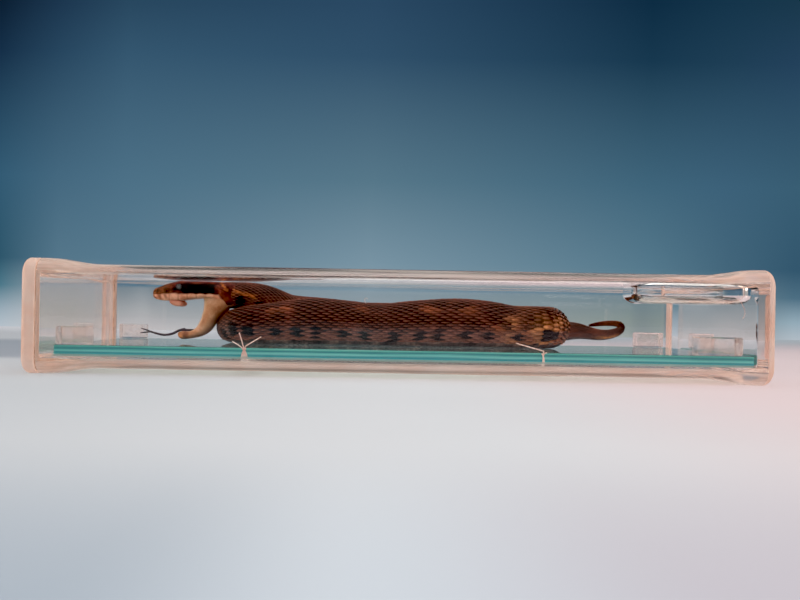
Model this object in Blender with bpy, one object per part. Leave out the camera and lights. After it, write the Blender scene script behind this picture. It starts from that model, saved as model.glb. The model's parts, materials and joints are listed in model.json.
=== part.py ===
"""Flat glass specimen jar lying on its back, with a coiled viper tied to a glass back plate.

Lengths in millimetres until they reach Blender, which works in metres. X runs along the jar
from the mouth (-X) to the base (+X), Y across its broad face and Z up, with Z = 0 where the
flared ends rest.
"""

import bmesh
import bpy
import numpy as np
from mathutils import Vector

# Jar
LENGTH = 300.0
BODY_WIDTH = 140.0
BODY_HEIGHT = 42.0
FLARE = 2.2
FLARE_RUN = 24.0
WALL = 3.8
BASE = 5.5
LID = 5.6
SEAL = 0.6
FIT = 0.1
OUTER_CORNER = 5.0
INNER_CORNER = 2.4
BASE_CORNER = 2.0
EDGE_ROUND = 3.6

# What stands in the jar
PLATE = 4.7
PLATE_SIDE_GAP = 2.0
PLATE_MOUTH_GAP = 5.8
PLATE_BASE_GAP = 1.0
THREAD = 0.56
THREAD_GAP = 0.19
BLOCK_LONG = 13.0
BLOCK_LONG_WIDE = 18.0
BLOCK_DEEP = 10.0
BLOCK_TALL = 7.3
GLUE = 0.15
HEAD_GAP = 0.5

# Follows from those above
END = LENGTH / 2
MOUTH = -END + LID + SEAL + 2 * FIT
BASE_INSIDE = END - BASE
HALF_WIDTH = BODY_WIDTH / 2
BOTTOM = FLARE
TOP = FLARE + BODY_HEIGHT
FLOOR = BOTTOM + WALL
CEILING = TOP - WALL
INSIDE = HALF_WIDTH - WALL
PLATE_BOTTOM = FLOOR + THREAD + 2 * THREAD_GAP
PLATE_TOP = PLATE_BOTTOM + PLATE
PLATE_EDGE = INSIDE - PLATE_SIDE_GAP
PLATE_LEFT = -END + LID + PLATE_MOUTH_GAP
PLATE_RIGHT = BASE_INSIDE - PLATE_BASE_GAP

# The snake is set down at full size and shrunk or grown with the room there is for it
SNAKE_HEIGHT = 28.25
SNAKE_REACH = 126.0
SNAKE_HALF_WIDTH = 40.0
SNAKE = min(
    (CEILING - HEAD_GAP - PLATE_TOP) / SNAKE_HEIGHT,
    (-MOUTH) / SNAKE_REACH,
    INSIDE / SNAKE_HALF_WIDTH,
)
HEAD_Y = 6.0
COLLECTION = "specimen_jar"


def clear_scene():
    for thing in list(bpy.data.objects):
        bpy.data.objects.remove(thing, do_unlink=True)


def collection(name, hidden=False):
    made = bpy.data.collections.new(name)
    made.hide_render = hidden
    bpy.context.scene.collection.children.link(made)
    return made


def material(name, colour, rough=0.5, alpha=1.0):
    made = bpy.data.materials.new(name)
    made.use_nodes = True
    shader = made.node_tree.nodes["Principled BSDF"]
    shader.inputs["Base Color"].default_value = (*colour, 1)
    shader.inputs["Roughness"].default_value = rough
    shader.inputs["Alpha"].default_value = alpha
    made.diffuse_color = (*colour, alpha)
    return made


def place(name, data, finish=None):
    made = bpy.data.objects.new(name, data)
    if finish:
        data.materials.append(finish)
        PARTS.objects.link(made)
    else:
        made.display_type = "WIRE"
        made.hide_render = True
        CUTTERS.objects.link(made)
    return made


def metres(points):
    return [Vector(p) / 1000 for p in points]


def as_mesh(curve_object, name):
    """A curve's evaluated shape as a mesh with its cap seams closed."""
    bpy.context.view_layer.update()
    graph = bpy.context.evaluated_depsgraph_get()
    mesh = bpy.data.meshes.new_from_object(curve_object.evaluated_get(graph))
    bpy.data.objects.remove(curve_object, do_unlink=True)
    shape = bmesh.new()
    shape.from_mesh(mesh)
    bmesh.ops.remove_doubles(shape, verts=shape.verts, dist=1e-6)
    bmesh.ops.recalc_face_normals(shape, faces=shape.faces)
    shape.to_mesh(mesh)
    shape.free()
    mesh.name = name
    return mesh


def curve_tube(name, points, radii, sides):
    """A POLY curve whose bevel makes the tube: one radius a point, caps filled."""
    data = bpy.data.curves.new(name, "CURVE")
    data.dimensions = "3D"
    data.bevel_depth = 0.001
    data.bevel_resolution = sides // 2 - 2
    data.use_fill_caps = True
    data.twist_mode = "MINIMUM"
    spline = data.splines.new("POLY")
    spline.points.add(len(points) - 1)
    for point, at, radius in zip(spline.points, metres(points), radii, strict=True):
        point.co = (*at, 1)
        point.radius = radius
    return data


def tube_mesh(name, points, radii, sides):
    return as_mesh(place(name, curve_tube(name, points, radii, sides)), name)


def smooth(keys, step):
    """Catmull-Rom through the rows of keys, sampled about every step of their first 3 columns."""
    keys = np.asarray(keys, float)
    padded = np.vstack([2 * keys[0] - keys[1], keys, 2 * keys[-1] - keys[-2]])
    rows = []
    for i in range(1, len(padded) - 2):
        a, b, c, d = padded[i - 1 : i + 3]
        count = max(1, round(np.linalg.norm((c - b)[:3]) / step))
        for t in np.arange(count) / count:
            rows.append(
                0.5 * (2 * b + (c - a) * t + (2 * a - 5 * b + 4 * c - d) * t**2
                       + (3 * b - a - 3 * c + d) * t**3)
            )
    return np.array([*rows, keys[-1]])


def rounded_rectangle(x, half_y, low, high, radius, steps=6):
    """Points round a rectangle with rounded corners, in the plane at x."""
    points = []
    for quarter, (y, z) in enumerate(
        [(half_y, high), (-half_y, high), (-half_y, low), (half_y, low)]
    ):
        cy, cz = y - np.sign(y) * radius, z - radius if z == high else z + radius
        for k in range(steps + 1):
            turn = np.pi / 2 * (quarter + k / steps)
            points.append((x, cy + radius * np.cos(turn), cz + radius * np.sin(turn)))
    return points


def loft(name, sections):
    """A closed skin through sections of equal point count."""
    shape = bmesh.new()
    rings = [[shape.verts.new(p) for p in metres(section)] for section in sections]
    for near, far in zip(rings, rings[1:], strict=False):
        for i in range(len(near)):
            j = (i + 1) % len(near)
            shape.faces.new((near[i], near[j], far[j], far[i]))
    shape.faces.new(rings[0])
    shape.faces.new(rings[-1])
    bmesh.ops.recalc_face_normals(shape, faces=shape.faces)
    mesh = bpy.data.meshes.new(name)
    shape.to_mesh(mesh)
    shape.free()
    return mesh


def block_mesh(name, low, high, rounds):
    """A cube with the edges that each test picks rounded in turn, as (test, radius, segments)."""
    shape = bmesh.new()
    bmesh.ops.create_cube(shape, size=1)
    low, high = Vector(low) / 1000, Vector(high) / 1000
    for vert in shape.verts:
        vert.co = [
            (a + b) / 2 + side * (b - a)
            for side, a, b in zip(vert.co, low, high, strict=True)
        ]
    for test, radius, segments in rounds:
        edges = [e for e in shape.edges if test(e.verts[0].co, e.verts[1].co)]
        bmesh.ops.bevel(
            shape, geom=edges, offset=radius / 1000, segments=segments,
            affect="EDGES", profile=0.5,
        )
    bmesh.ops.recalc_face_normals(shape, faces=shape.faces)
    mesh = bpy.data.meshes.new(name)
    shape.to_mesh(mesh)
    shape.free()
    return mesh


def along_x(a, b):
    return abs(a.x - b.x) > 1e-5


def every_edge(a, b):
    return a != b


def at_x(x):
    def test(a, b):
        return abs(a.x - x / 1000) < 1e-6 and abs(b.x - x / 1000) < 1e-6

    return test


def ball_mesh(name, centre, radii, segments, rings):
    shape = bmesh.new()
    bmesh.ops.create_uvsphere(shape, u_segments=segments, v_segments=rings, radius=1)
    for vert in shape.verts:
        vert.co = [(c + v * r) / 1000 for c, v, r in zip(centre, vert.co, radii, strict=True)]
    mesh = bpy.data.meshes.new(name)
    shape.to_mesh(mesh)
    shape.free()
    return mesh


def boolean(target, other, operation):
    step = target.modifiers.new(f"{operation.lower()}_{other.name}", "BOOLEAN")
    step.object = other
    step.operation = operation
    step.solver = "EXACT"


def jar_body():
    """Outer skin lofted through the flared ends, less a straight cavity open at the mouth."""
    eased = [(0.0, 1.0), (0.15, 1.0), (0.4, 0.8), (0.62, 0.42), (0.82, 0.1), (1.0, 0.0)]
    left = [(MOUTH, FLARE - 0.3), (MOUTH + 0.3, FLARE)]
    left += [(MOUTH + 0.3 + run * FLARE_RUN, share * FLARE) for run, share in eased[1:]]
    right = [(END - EDGE_ROUND - run * FLARE_RUN, share * FLARE) for run, share in eased[::-1]]
    for turn in np.radians([22.5, 45, 67.5, 90]):
        inset = EDGE_ROUND * (1 - np.cos(turn))
        right.append((END - EDGE_ROUND * (1 - np.sin(turn)), FLARE - inset))
    sections = [
        rounded_rectangle(x, HALF_WIDTH + out, BOTTOM - out, TOP + out, OUTER_CORNER + out / 2)
        for x, out in left + right
    ]
    body = place("jar_body", loft("jar_body", sections), GLASS_JAR)
    cavity = place(
        "jar_cavity",
        block_mesh(
            "jar_cavity", (MOUTH - 20, -INSIDE, FLOOR), (BASE_INSIDE, INSIDE, CEILING),
            [(along_x, INNER_CORNER, 4), (at_x(BASE_INSIDE), BASE_CORNER, 3)],
        ),
    )
    boolean(body, cavity, "DIFFERENCE")


def lid():
    outline = HALF_WIDTH + FLARE
    plate = block_mesh(
        "lid_plate", (-END, -outline, 0), (-END + LID, outline, TOP + FLARE),
        [(along_x, OUTER_CORNER + FLARE / 2, 6), (at_x(-END), EDGE_ROUND - 1, 4)],
    )
    place("lid_plate", plate, GLASS_LID)
    ring = bpy.data.curves.new("lid_seal", "CURVE")
    ring.dimensions = "2D"
    ring.fill_mode = "BOTH"
    ring.extrude = SEAL / 2000
    inset, lap = 0.9, 0.5
    edges = [
        rounded_rectangle(0, outline - inset, inset, TOP + FLARE - inset, OUTER_CORNER),
        rounded_rectangle(0, INSIDE + lap, FLOOR - lap, CEILING + lap, INNER_CORNER),
    ]
    for points in edges:
        spline = ring.splines.new("POLY")
        spline.points.add(len(points) - 1)
        spline.use_cyclic_u = True
        for point, (_, y, z) in zip(spline.points, points, strict=True):
            point.co = (y / 1000, z / 1000, 0, 1)
    flat = place("lid_seal_outline", ring)
    mesh = as_mesh(flat, "lid_seal")
    for vert in mesh.vertices:
        y, z, x = vert.co
        vert.co = (x + (MOUTH - FIT - SEAL / 2) / 1000, y, z)
    place("lid_seal", mesh, SEALANT)


def back_plate():
    plate = block_mesh(
        "back_plate", (PLATE_LEFT, -PLATE_EDGE, PLATE_BOTTOM), (PLATE_RIGHT, PLATE_EDGE, PLATE_TOP),
        [(every_edge, 0.35, 1)],
    )
    place("back_plate", plate, GLASS_FLOAT)
    corners = [
        ("corner_block_mouth_near", PLATE_LEFT + 0.4, BLOCK_LONG, -1),
        ("corner_block_mouth_far", PLATE_LEFT + 0.4, BLOCK_LONG, 1),
        ("corner_block_base_near", PLATE_RIGHT - 4 - BLOCK_LONG_WIDE, BLOCK_LONG_WIDE, -1),
        ("corner_block_base_far", PLATE_RIGHT - 4 - BLOCK_LONG, BLOCK_LONG, 1),
    ]
    for name, left, long, side in corners:
        outer = side * (PLATE_EDGE - 0.5)
        inner = side * (PLATE_EDGE - 0.5 - BLOCK_DEEP)
        z = PLATE_TOP + GLUE
        low = (left, min(outer, inner), z)
        high = (left + long, max(outer, inner), z + BLOCK_TALL)
        place(name, block_mesh(name, low, high, [(every_edge, 0.5, 1)]), GLASS_BLOCK)


def seated(x, y, height):
    """A point of the full-size snake, its height above the plate, as it lies in this jar."""
    return (SNAKE * x, SNAKE * y, PLATE_TOP + SNAKE * height)


def body_keys():
    """Rows of x, y, height above the plate and radius, from the neck to the tip of the tail."""
    rest = 0.25
    near_y, middle_y, far_y = -9.5, 11.3, 29.5
    keys = [
        (-76.9, 6.0, 22.05, 6.0), (-73, 6.2, 22.0, 6.05), (-69, 6.5, 21.9, 6.2),
        (-65, 6.9, 21.4, 6.45), (-61, 7.3, 20.4, 6.75), (-57, 7.8, 18.9, 7.05),
        (-53, 8.3, 16.9, 7.35), (-49, 8.8, 15.2, 7.6), (-44, 9.3, 14.2, 7.95),
        (-38, 9.9, 13.3, 8.4), (-31, 10.5, 12.3, 8.8), (-23, 10.9, 10.8, 9.2),
        (-14, 11.2, 9.95, 9.5),
    ]
    keys += [(x, middle_y, r + rest, r) for x, r in [(-3, 9.6), (15, 9.6), (38, 9.5), (54, 9.4)]]
    bend_x, bend_y = 61.5, (near_y + middle_y) / 2
    for turn in np.radians([75, 45, 15, -15, -45, -75]):
        reach = middle_y - bend_y
        keys.append((bend_x + reach * np.cos(turn), bend_y + reach * np.sin(turn), 9.55, 9.3))
    keys += [
        (x, near_y, r + rest, r)
        for x, r in [(54, 9.35), (47, 9.95), (38.6, 10.5), (29.7, 10.7), (20.8, 10.5),
                     (6.6, 9.9), (-6.2, 9.2), (-20, 9.8), (-33.6, 10.3), (-45, 9.8), (-53, 9.2)]
    ]
    left_x, left_y = -55.5, (near_y + far_y) / 2
    reach = far_y - left_y
    for degrees, r in [(-105, 8.7), (-130, 8.1), (-155, 7.5), (180, 7.3), (155, 7.3),
                       (130, 7.4), (105, 7.5)]:
        turn = np.radians(degrees)
        keys.append((left_x + reach * np.cos(turn), left_y + reach * np.sin(turn), r + rest, r))
    keys += [(x, far_y, r + rest, r) for x, r in [(-50, 7.5), (-25, 7.4), (0, 7.3), (25, 7.1)]]
    keys += [
        (50, 29.4, 7.2, 6.9), (64, 28.8, 7.05, 6.4), (75, 27.8, 7.1, 5.6), (82, 27.0, 7.6, 4.8),
        (89.4, 26.3, 8.0, 3.9), (95, 26, 7.2, 3.1), (99.6, 26, 6.4, 2.65), (103.2, 26, 6.3, 2.4),
        (106.6, 26, 6.75, 2.15), (109.5, 26.1, 7.75, 1.95), (111.4, 26.2, 9.0, 1.75),
        (111.9, 26.3, 10.3, 1.6), (111.1, 26.5, 11.4, 1.45), (109, 26.7, 12.0, 1.3),
        (105.7, 26.9, 12.1, 1.2), (102, 27.0, 11.8, 1.0), (99, 27.1, 11.35, 0.75),
        (96.8, 27.2, 10.9, 0.35),
    ]
    return keys


def snake_body():
    rows = smooth(body_keys(), 4.2)
    points = [seated(*row[:3]) for row in rows]
    tube = curve_tube("snake_body", points, SNAKE * rows[:, 3], 16)
    place("snake_body", tube, SKIN)


def head_section(x, half_width, low, high, count=20):
    """An oval with a flatter underside."""
    points = []
    for i in range(count):
        turn = 2 * np.pi * i / count
        c, s = np.cos(turn), np.sin(turn)
        power = 0.75 if s > 0 else 0.55
        y = half_width * np.sign(c) * abs(c) ** 0.85
        z = (low + high) / 2 + (high - low) / 2 * np.sign(s) * abs(s) ** power
        points.append(seated(x, HEAD_Y + y, z))
    return points


def snake_head():
    rows = [
        (-111.8, 2.6, 21.0, 23.9), (-111.2, 3.8, 20.0, 24.4), (-109.3, 5.2, 18.95, 25.1),
        (-105.5, 6.7, 18.2, 26.6), (-102.3, 7.6, 18.1, 27.5), (-99, 8.5, 18.1, 28.1),
        (-94, 9.7, 18.6, 28.25), (-88.5, 10.8, 19.2, 28.25), (-83.5, 11.0, 19.35, 28.1),
        (-80, 9.8, 19.1, 28.0), (-77.6, 7.6, 18.9, 27.8),
    ]
    skull = place("snake_head", loft("snake_head", [head_section(*row) for row in rows]), SKIN_HEAD)
    for side, word in ((-1, "near"), (1, "far")):
        centre = seated(-99.9, HEAD_Y + side * 7.1, 25.3)
        socket = ball_mesh(f"eye_socket_{word}", centre, [2.3 * SNAKE] * 3, 16, 10)
        boolean(skull, place(f"eye_socket_{word}", socket), "DIFFERENCE")
        eye = ball_mesh(f"snake_eye_{word}", centre, [1.95 * SNAKE] * 3, 16, 10)
        place(f"snake_eye_{word}", eye, EYE)
        low_tooth = seated(-100.6, HEAD_Y + side * 4.6, 16.75)
        sheath = ball_mesh(
            f"snake_fang_sheath_{word}", low_tooth,
            [3.1 * SNAKE, 1.7 * SNAKE, 1.1 * SNAKE], 14, 8,
        )
        place(f"snake_fang_sheath_{word}", sheath, GUM)


def snake_mouth():
    rows = smooth(
        [(-83.6, 0, 18.1, 5.5), (-83.65, 0, 17.2, 5.3), (-84.9, 0, 14.6, 4.6), (-86.2, 0, 11.4, 4.0),
         (-88.3, 0, 7.8, 3.5), (-91.8, 0, 4.9, 2.6), (-96, 0, 3.45, 1.8), (-99.4, 0, 3.0, 1.4),
         (-100.6, 0, 2.9, 0.8)],
        2.0,
    )
    jaw = tube_mesh("snake_lower_jaw", rows[:, :3], rows[:, 3], 16)
    for vert in jaw.vertices:
        x, y, z = vert.co * 1000
        vert.co = Vector(seated(x, HEAD_Y + 1.7 * y, z)) / 1000
    place("snake_lower_jaw", jaw, MOUTH_SKIN)
    stem = smooth(
        [(-96.8, HEAD_Y, 6.0, 0.6), (-99.5, HEAD_Y, 5.4, 0.6), (-102.9, HEAD_Y, 3.7, 0.6),
         (-106.5, HEAD_Y, 3.1, 0.55), (-110, HEAD_Y, 3.7, 0.5), (-113.4, HEAD_Y, 4.7, 0.45)],
        1.5,
    )
    tongue = place(
        "snake_tongue",
        tube_mesh("snake_tongue", [seated(*r[:3]) for r in stem], SNAKE * stem[:, 3], 10),
        TONGUE,
    )
    for word, side, rise in (("near", -1.2, 3.9), ("far", 1.2, 6.0)):
        fork = smooth(
            [(-112.6, HEAD_Y, 4.5, 0.36), (-115, HEAD_Y + side / 2, (4.6 + rise) / 2, 0.32),
             (-117.6, HEAD_Y + side, rise, 0.2)],
            1.5,
        )
        mesh = tube_mesh(
            f"tongue_fork_{word}", [seated(*r[:3]) for r in fork], SNAKE * fork[:, 3], 8
        )
        boolean(tongue, place(f"tongue_fork_{word}", mesh), "UNION")


def tie(name, x, near_flank, far_flank, free_ends, knot_radius):
    """One thread: from the near flank over the plate's edge, under it and up to the far flank."""
    off = THREAD / 2 + 0.3
    edge = PLATE_EDGE + off
    above = PLATE_TOP + off
    below = PLATE_BOTTOM - THREAD_GAP - THREAD / 2
    edge_x = SNAKE * x
    start, finish = seated(*near_flank), seated(*far_flank)
    path = [
        start, (edge_x, -PLATE_EDGE + 1.5, above), (edge_x, -edge + 0.1, above - 0.35),
        (edge_x, -edge, PLATE_TOP - 0.8), (edge_x, -edge, PLATE_BOTTOM + 0.6),
        (edge_x, -edge + 0.35, below + 0.3), (edge_x, -PLATE_EDGE + 1.0, below),
        (edge_x, PLATE_EDGE - 1.0, below), (edge_x, edge - 0.35, below + 0.3),
        (edge_x, edge, PLATE_BOTTOM + 0.6), (edge_x, edge, PLATE_TOP - 0.8),
        (edge_x, edge - 0.1, above - 0.35), (edge_x, PLATE_EDGE - 1.5, above), finish,
    ]
    thread = place(name, tube_mesh(name, path, [THREAD / 2] * len(path), 8), THREAD_FIBRE)
    knot_at = (edge_x, -PLATE_EDGE + 1.0, above + 0.25)
    knot = ball_mesh(f"{name}_knot", knot_at, [knot_radius * 1.2, knot_radius, knot_radius * 0.8], 12, 8)
    boolean(thread, place(f"{name}_knot", knot), "UNION")
    for i, (dx, dy, dz) in enumerate(free_ends):
        end = (knot_at[0] + dx, knot_at[1] + dy, knot_at[2] + dz)
        bend = [(a + b) / 2 for a, b in zip(knot_at, end, strict=True)]
        bend[2] += 0.3
        mesh = tube_mesh(f"{name}_end_{i}", [knot_at, bend, end], [THREAD / 2] * 3, 8)
        boolean(thread, place(f"{name}_end_{i}", mesh), "UNION")


clear_scene()
PARTS = collection(COLLECTION)
CUTTERS = collection(f"{COLLECTION}_cutters", hidden=True)
GLASS_JAR = material("jar_glass", (0.84, 0.72, 0.65), 0.05, 0.35)
GLASS_LID = material("lid_glass", (0.86, 0.70, 0.62), 0.25, 0.45)
SEALANT = material("sealant", (0.62, 0.50, 0.42), 0.6)
GLASS_FLOAT = material("float_glass", (0.30, 0.62, 0.56), 0.05, 0.45)
GLASS_BLOCK = material("clear_glass", (0.85, 0.87, 0.85), 0.05, 0.4)
SKIN = material("snake_skin", (0.12, 0.05, 0.04), 0.55)
SKIN_HEAD = material("snake_head_skin", (0.14, 0.06, 0.04), 0.5)
MOUTH_SKIN = material("snake_mouth_skin", (0.52, 0.31, 0.20), 0.5)
GUM = material("snake_gum", (0.60, 0.33, 0.27), 0.4)
EYE = material("snake_eye", (0.35, 0.37, 0.38), 0.2)
TONGUE = material("snake_tongue", (0.05, 0.03, 0.05), 0.5)
THREAD_FIBRE = material("cotton_thread", (0.82, 0.72, 0.68), 0.8)

jar_body()
lid()
back_plate()
snake_body()
snake_head()
snake_mouth()
tie(
    "tie_thread_head_end", -61.8, (-60.5, -19.0, 2.2), (-60.5, 38.6, 1.6),
    [(-5.0, -0.2, 1.2), (-2.2, 1.2, 4.6)], 0.8,
)
tie("tie_thread_tail_end", 58.5, (61.0, -17.8, 0.9), (61.0, 38.2, 1.4), [(1.6, 0.4, 0.7)], 0.6)
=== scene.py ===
# %% [markdown]
# # A viper in an old flat museum jar
# The jar is a pressed glass box lying on its back. It holds preserving fluid, a teal edged glass
# plate and a small coiled viper that is tied to the plate with thread. The measured model gives
# every piece its place, so this lesson starts by loading it, and then gives each piece its looks.

import json

import bpy
import numpy as np
from mathutils import Matrix, Vector

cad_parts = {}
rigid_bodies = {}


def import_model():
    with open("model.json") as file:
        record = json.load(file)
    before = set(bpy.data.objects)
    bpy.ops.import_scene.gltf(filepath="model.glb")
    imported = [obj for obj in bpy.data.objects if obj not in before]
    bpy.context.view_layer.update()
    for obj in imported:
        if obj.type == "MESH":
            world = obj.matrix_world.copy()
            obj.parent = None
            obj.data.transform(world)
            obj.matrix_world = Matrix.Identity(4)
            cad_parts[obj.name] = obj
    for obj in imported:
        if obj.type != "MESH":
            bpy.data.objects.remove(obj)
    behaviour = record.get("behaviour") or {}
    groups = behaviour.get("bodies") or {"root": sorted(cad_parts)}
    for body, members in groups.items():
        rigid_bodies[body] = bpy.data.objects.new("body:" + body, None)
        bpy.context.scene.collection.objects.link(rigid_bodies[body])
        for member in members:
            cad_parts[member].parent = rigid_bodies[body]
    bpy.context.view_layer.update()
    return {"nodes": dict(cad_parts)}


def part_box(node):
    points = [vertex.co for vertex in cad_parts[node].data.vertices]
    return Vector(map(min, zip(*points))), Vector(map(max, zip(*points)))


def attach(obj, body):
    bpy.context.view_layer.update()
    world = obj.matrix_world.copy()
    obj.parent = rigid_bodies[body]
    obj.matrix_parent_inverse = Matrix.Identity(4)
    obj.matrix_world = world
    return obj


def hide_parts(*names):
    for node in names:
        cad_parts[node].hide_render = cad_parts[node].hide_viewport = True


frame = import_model()

# %% [markdown]
# Sizes come from the model, in millimetres. The jar body gives the mouth and the outside, the
# back plate gives the height that the snake lies at, and the fluid fills what is between the walls.

# %% Take sizes from the model
low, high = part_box("jar_body")
MOUTH, END = low.x * 1000, high.x * 1000
LID_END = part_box("lid_plate")[0].x * 1000
LID_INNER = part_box("lid_plate")[1].x * 1000
WIDEST, TALLEST = high.y * 1000, high.z * 1000
FLARE, WALL, BASE = 2.2, 3.8, 5.5
HALF_WIDTH = WIDEST - FLARE
BOTTOM, TOP = FLARE, TALLEST - FLARE
FLOOR, CEILING, INSIDE = BOTTOM + WALL, TOP - WALL, HALF_WIDTH - WALL
BASE_INSIDE = END - BASE
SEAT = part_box("back_plate")[1].z * 1000
PLATE_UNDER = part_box("back_plate")[0].z * 1000
PLATE_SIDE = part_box("back_plate")[1].y * 1000
print("cavity:", MOUTH, BASE_INSIDE, INSIDE, FLOOR, CEILING, "plate top:", SEAT)

# %% [markdown]
# Two small helpers serve every material. One turns a colour as it is picked on a screen into the
# linear numbers that light is mixed in. The other adds a node with its settings and its links.


# %% Helpers for colours and nodes
def linear(code):
    values = [int(code[i : i + 2], 16) / 255 for i in (1, 3, 5)]
    return (*[v / 12.92 if v <= 0.04045 else ((v + 0.055) / 1.055) ** 2.4 for v in values], 1)


def add(tree, kind, feeds=None, stops=(), mode="EASE", **settings):
    """A node with its settings. Feeds give a socket a value, a colour code, an output or a node,
    which stands for its first output in use. Stops are a colour ramp's positions and codes."""
    node = tree.nodes.new(kind)
    for key, value in settings.items():
        setattr(node, key, value)
    for socket, source in (feeds or {}).items():
        if isinstance(source, bpy.types.Node):
            source = next(output for output in source.outputs if output.enabled)
        if isinstance(source, bpy.types.NodeSocket):
            tree.links.new(source, node.inputs[socket])
        else:
            code = isinstance(source, str) and source.startswith("#")
            node.inputs[socket].default_value = linear(source) if code else source
    if stops:
        node.color_ramp.interpolation = mode
        while len(node.color_ramp.elements) < len(stops):
            node.color_ramp.elements.new(1)
        for element, (position, code) in zip(node.color_ramp.elements, stops, strict=True):
            element.position, element.color = position, linear(code)
    return node


def new_material(name):
    made = bpy.data.materials.new(name)
    made.use_nodes = True
    made.node_tree.nodes.clear()
    return made, made.node_tree, add(made.node_tree, "ShaderNodeTexCoord").outputs["Object"]


def finish_material(tree, surface, volume=None):
    feeds = {"Surface": surface} | ({"Volume": volume} if volume else {})
    add(tree, "ShaderNodeOutputMaterial", feeds)


def dress(piece, finish):
    """Gives a piece that keeps its shape its finish."""
    piece.data.materials.clear()
    piece.data.materials.append(finish)


def mottled(name, scale, detail, stops, looks, bump=None):
    """A finish whose colour follows one cloud of noise, with the rest of its looks."""
    made, tree, where = new_material(name)
    cloud = add(tree, "ShaderNodeTexNoise", {"Vector": where, "Scale": scale, "Detail": detail})
    looks = {"Base Color": add(tree, "ShaderNodeValToRGB", {0: cloud}, stops)} | looks
    if bump:
        raised = {"Height": cloud, "Strength": bump[0], "Distance": bump[1]}
        looks["Normal"] = add(tree, "ShaderNodeBump", raised)
    finish_material(tree, add(tree, "ShaderNodeBsdfPrincipled", looks))
    return made


print("mid grey in linear light:", round(linear("#808080")[0], 3))

# %% [markdown]
# The camera stands close in front of the jar, a little above the table, and looks level. The
# frame leans by a degree, so that the jar seems to run down to the right. The picture's black level
# is raised a little, as a camera does, so that the darkest skin comes out black.

# %% Camera
scene = bpy.context.scene
camera = bpy.data.objects.new("camera", bpy.data.cameras.new("camera"))
scene.collection.objects.link(camera)
camera.data.lens, camera.data.sensor_width = 35.3, 36
camera.data.shift_x, camera.data.shift_y = 0.0525, 0.0196
camera.data.clip_start = 0.01
camera.location = (-0.0162, -0.382, 0.0253)
lean = Matrix.Rotation(np.pi / 2, 4, "X") @ Matrix.Rotation(np.radians(1.0), 4, "Z")
camera.rotation_euler = lean.to_euler()
scene.camera = camera
scene.view_settings.view_transform = "Standard"
BLACK = 0.0165
scene.view_settings.use_curve_mapping = True
scene.view_settings.curve_mapping.black_level = (BLACK, BLACK, BLACK)
scene.view_settings.curve_mapping.update()
scene.cycles.max_bounces = 20
scene.cycles.transmission_bounces = 20
scene.cycles.glossy_bounces = 8
scene.cycles.diffuse_bounces = 3
scene.cycles.transparent_max_bounces = 24
print("camera at", tuple(round(v, 4) for v in camera.location))

# %% [markdown]
# Such a jar is shown lying on a pale table in front of a blue wall. The table is one
# matt sheet, with painted light and shade in its colour. It fades into a wall far behind it, which
# glows by itself, so that the lamps can't change its colour: pale at the foot, then blue, and
# darker towards the top and the sides, which is painted light and shade.

# %% Table
WALL_Y = 0.8


def sheet(name, corners):
    mesh = bpy.data.meshes.new(name)
    mesh.from_pydata(corners, [], [(0, 1, 2, 3)])
    made = bpy.data.objects.new(name, mesh)
    scene.collection.objects.link(made)
    return made


# Painted light and shade: in each column the wall is pale at the foot, blue above and darker
# towards the top, and the columns at the sides are darker; the darkening is painted shade.
WALL_HEIGHTS = (0.0, 0.05, 0.12, 0.2, 0.44, 0.8, 1.0)
WALL_EDGE = ["#B4C0CA", "#98ABB8", "#477688", "#2C556A", "#335B74", "#152F48", "#061628"]
WALL_COLUMNS = {
    -0.58: WALL_EDGE,
    -0.56: WALL_EDGE,
    -0.47: ["#C4C4C5", "#B8BABD", "#939FA8", "#54768A", "#44687F", "#27465F", "#172F48"],
    -0.37: ["#BFBCBE", "#A6AAAE", "#74858F", "#587A8E", "#4C7086", "#34566F", "#234159"],
    0.0: ["#B8BABC", "#9AA3A8", "#889CA8", "#7893A3", "#567789", "#30506A", "#284661"],
    0.42: ["#98A19F", "#899795", "#6E8690", "#55798C", "#3F657B", "#17384F", "#0B2A41"],
    0.54: ["#8A9398", "#738289", "#677F8A", "#43667B", "#3C6179", "#1E3E55", "#133349"],
    0.64: ["#B0BBC4", "#93AAB7", "#4D6F83", "#33576E", "#395E74", "#23415B", "#18374A"],
}


def above_black(tree, tone):
    """Lifts a glowing colour by as much as the black level takes away again."""
    lifted = {0: tone, 1: (1 - BLACK,) * 3, 2: (BLACK,) * 3}
    return add(tree, "ShaderNodeVectorMath", lifted, operation="MULTIPLY_ADD")


table_top = sheet("table", [(-3, -3, 0), (3, -3, 0), (3, WALL_Y, 0), (-3, WALL_Y, 0)])
paper, tree, where = new_material("matt white table board")
parts = add(tree, "ShaderNodeSeparateXYZ", {0: where})
sideways = add(tree, "ShaderNodeMapRange",
    {"Value": parts.outputs["X"], "From Min": -0.13, "From Max": 0.13})
# Painted light: the board is cooler and darker at the left and pinker at the right, as the light
# falls across it.
board = add(tree, "ShaderNodeValToRGB", {0: sideways},
    [(0.0, "#C2CBD4"), (0.5, "#D3DAE2"), (1.0, "#DFD2D8")])
grain = add(tree, "ShaderNodeTexNoise", {"Vector": where, "Scale": 9.0, "Detail": 3.0})
lift = add(tree, "ShaderNodeMapRange", {"Value": grain, "To Min": 0.97, "To Max": 1.03})
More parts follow.
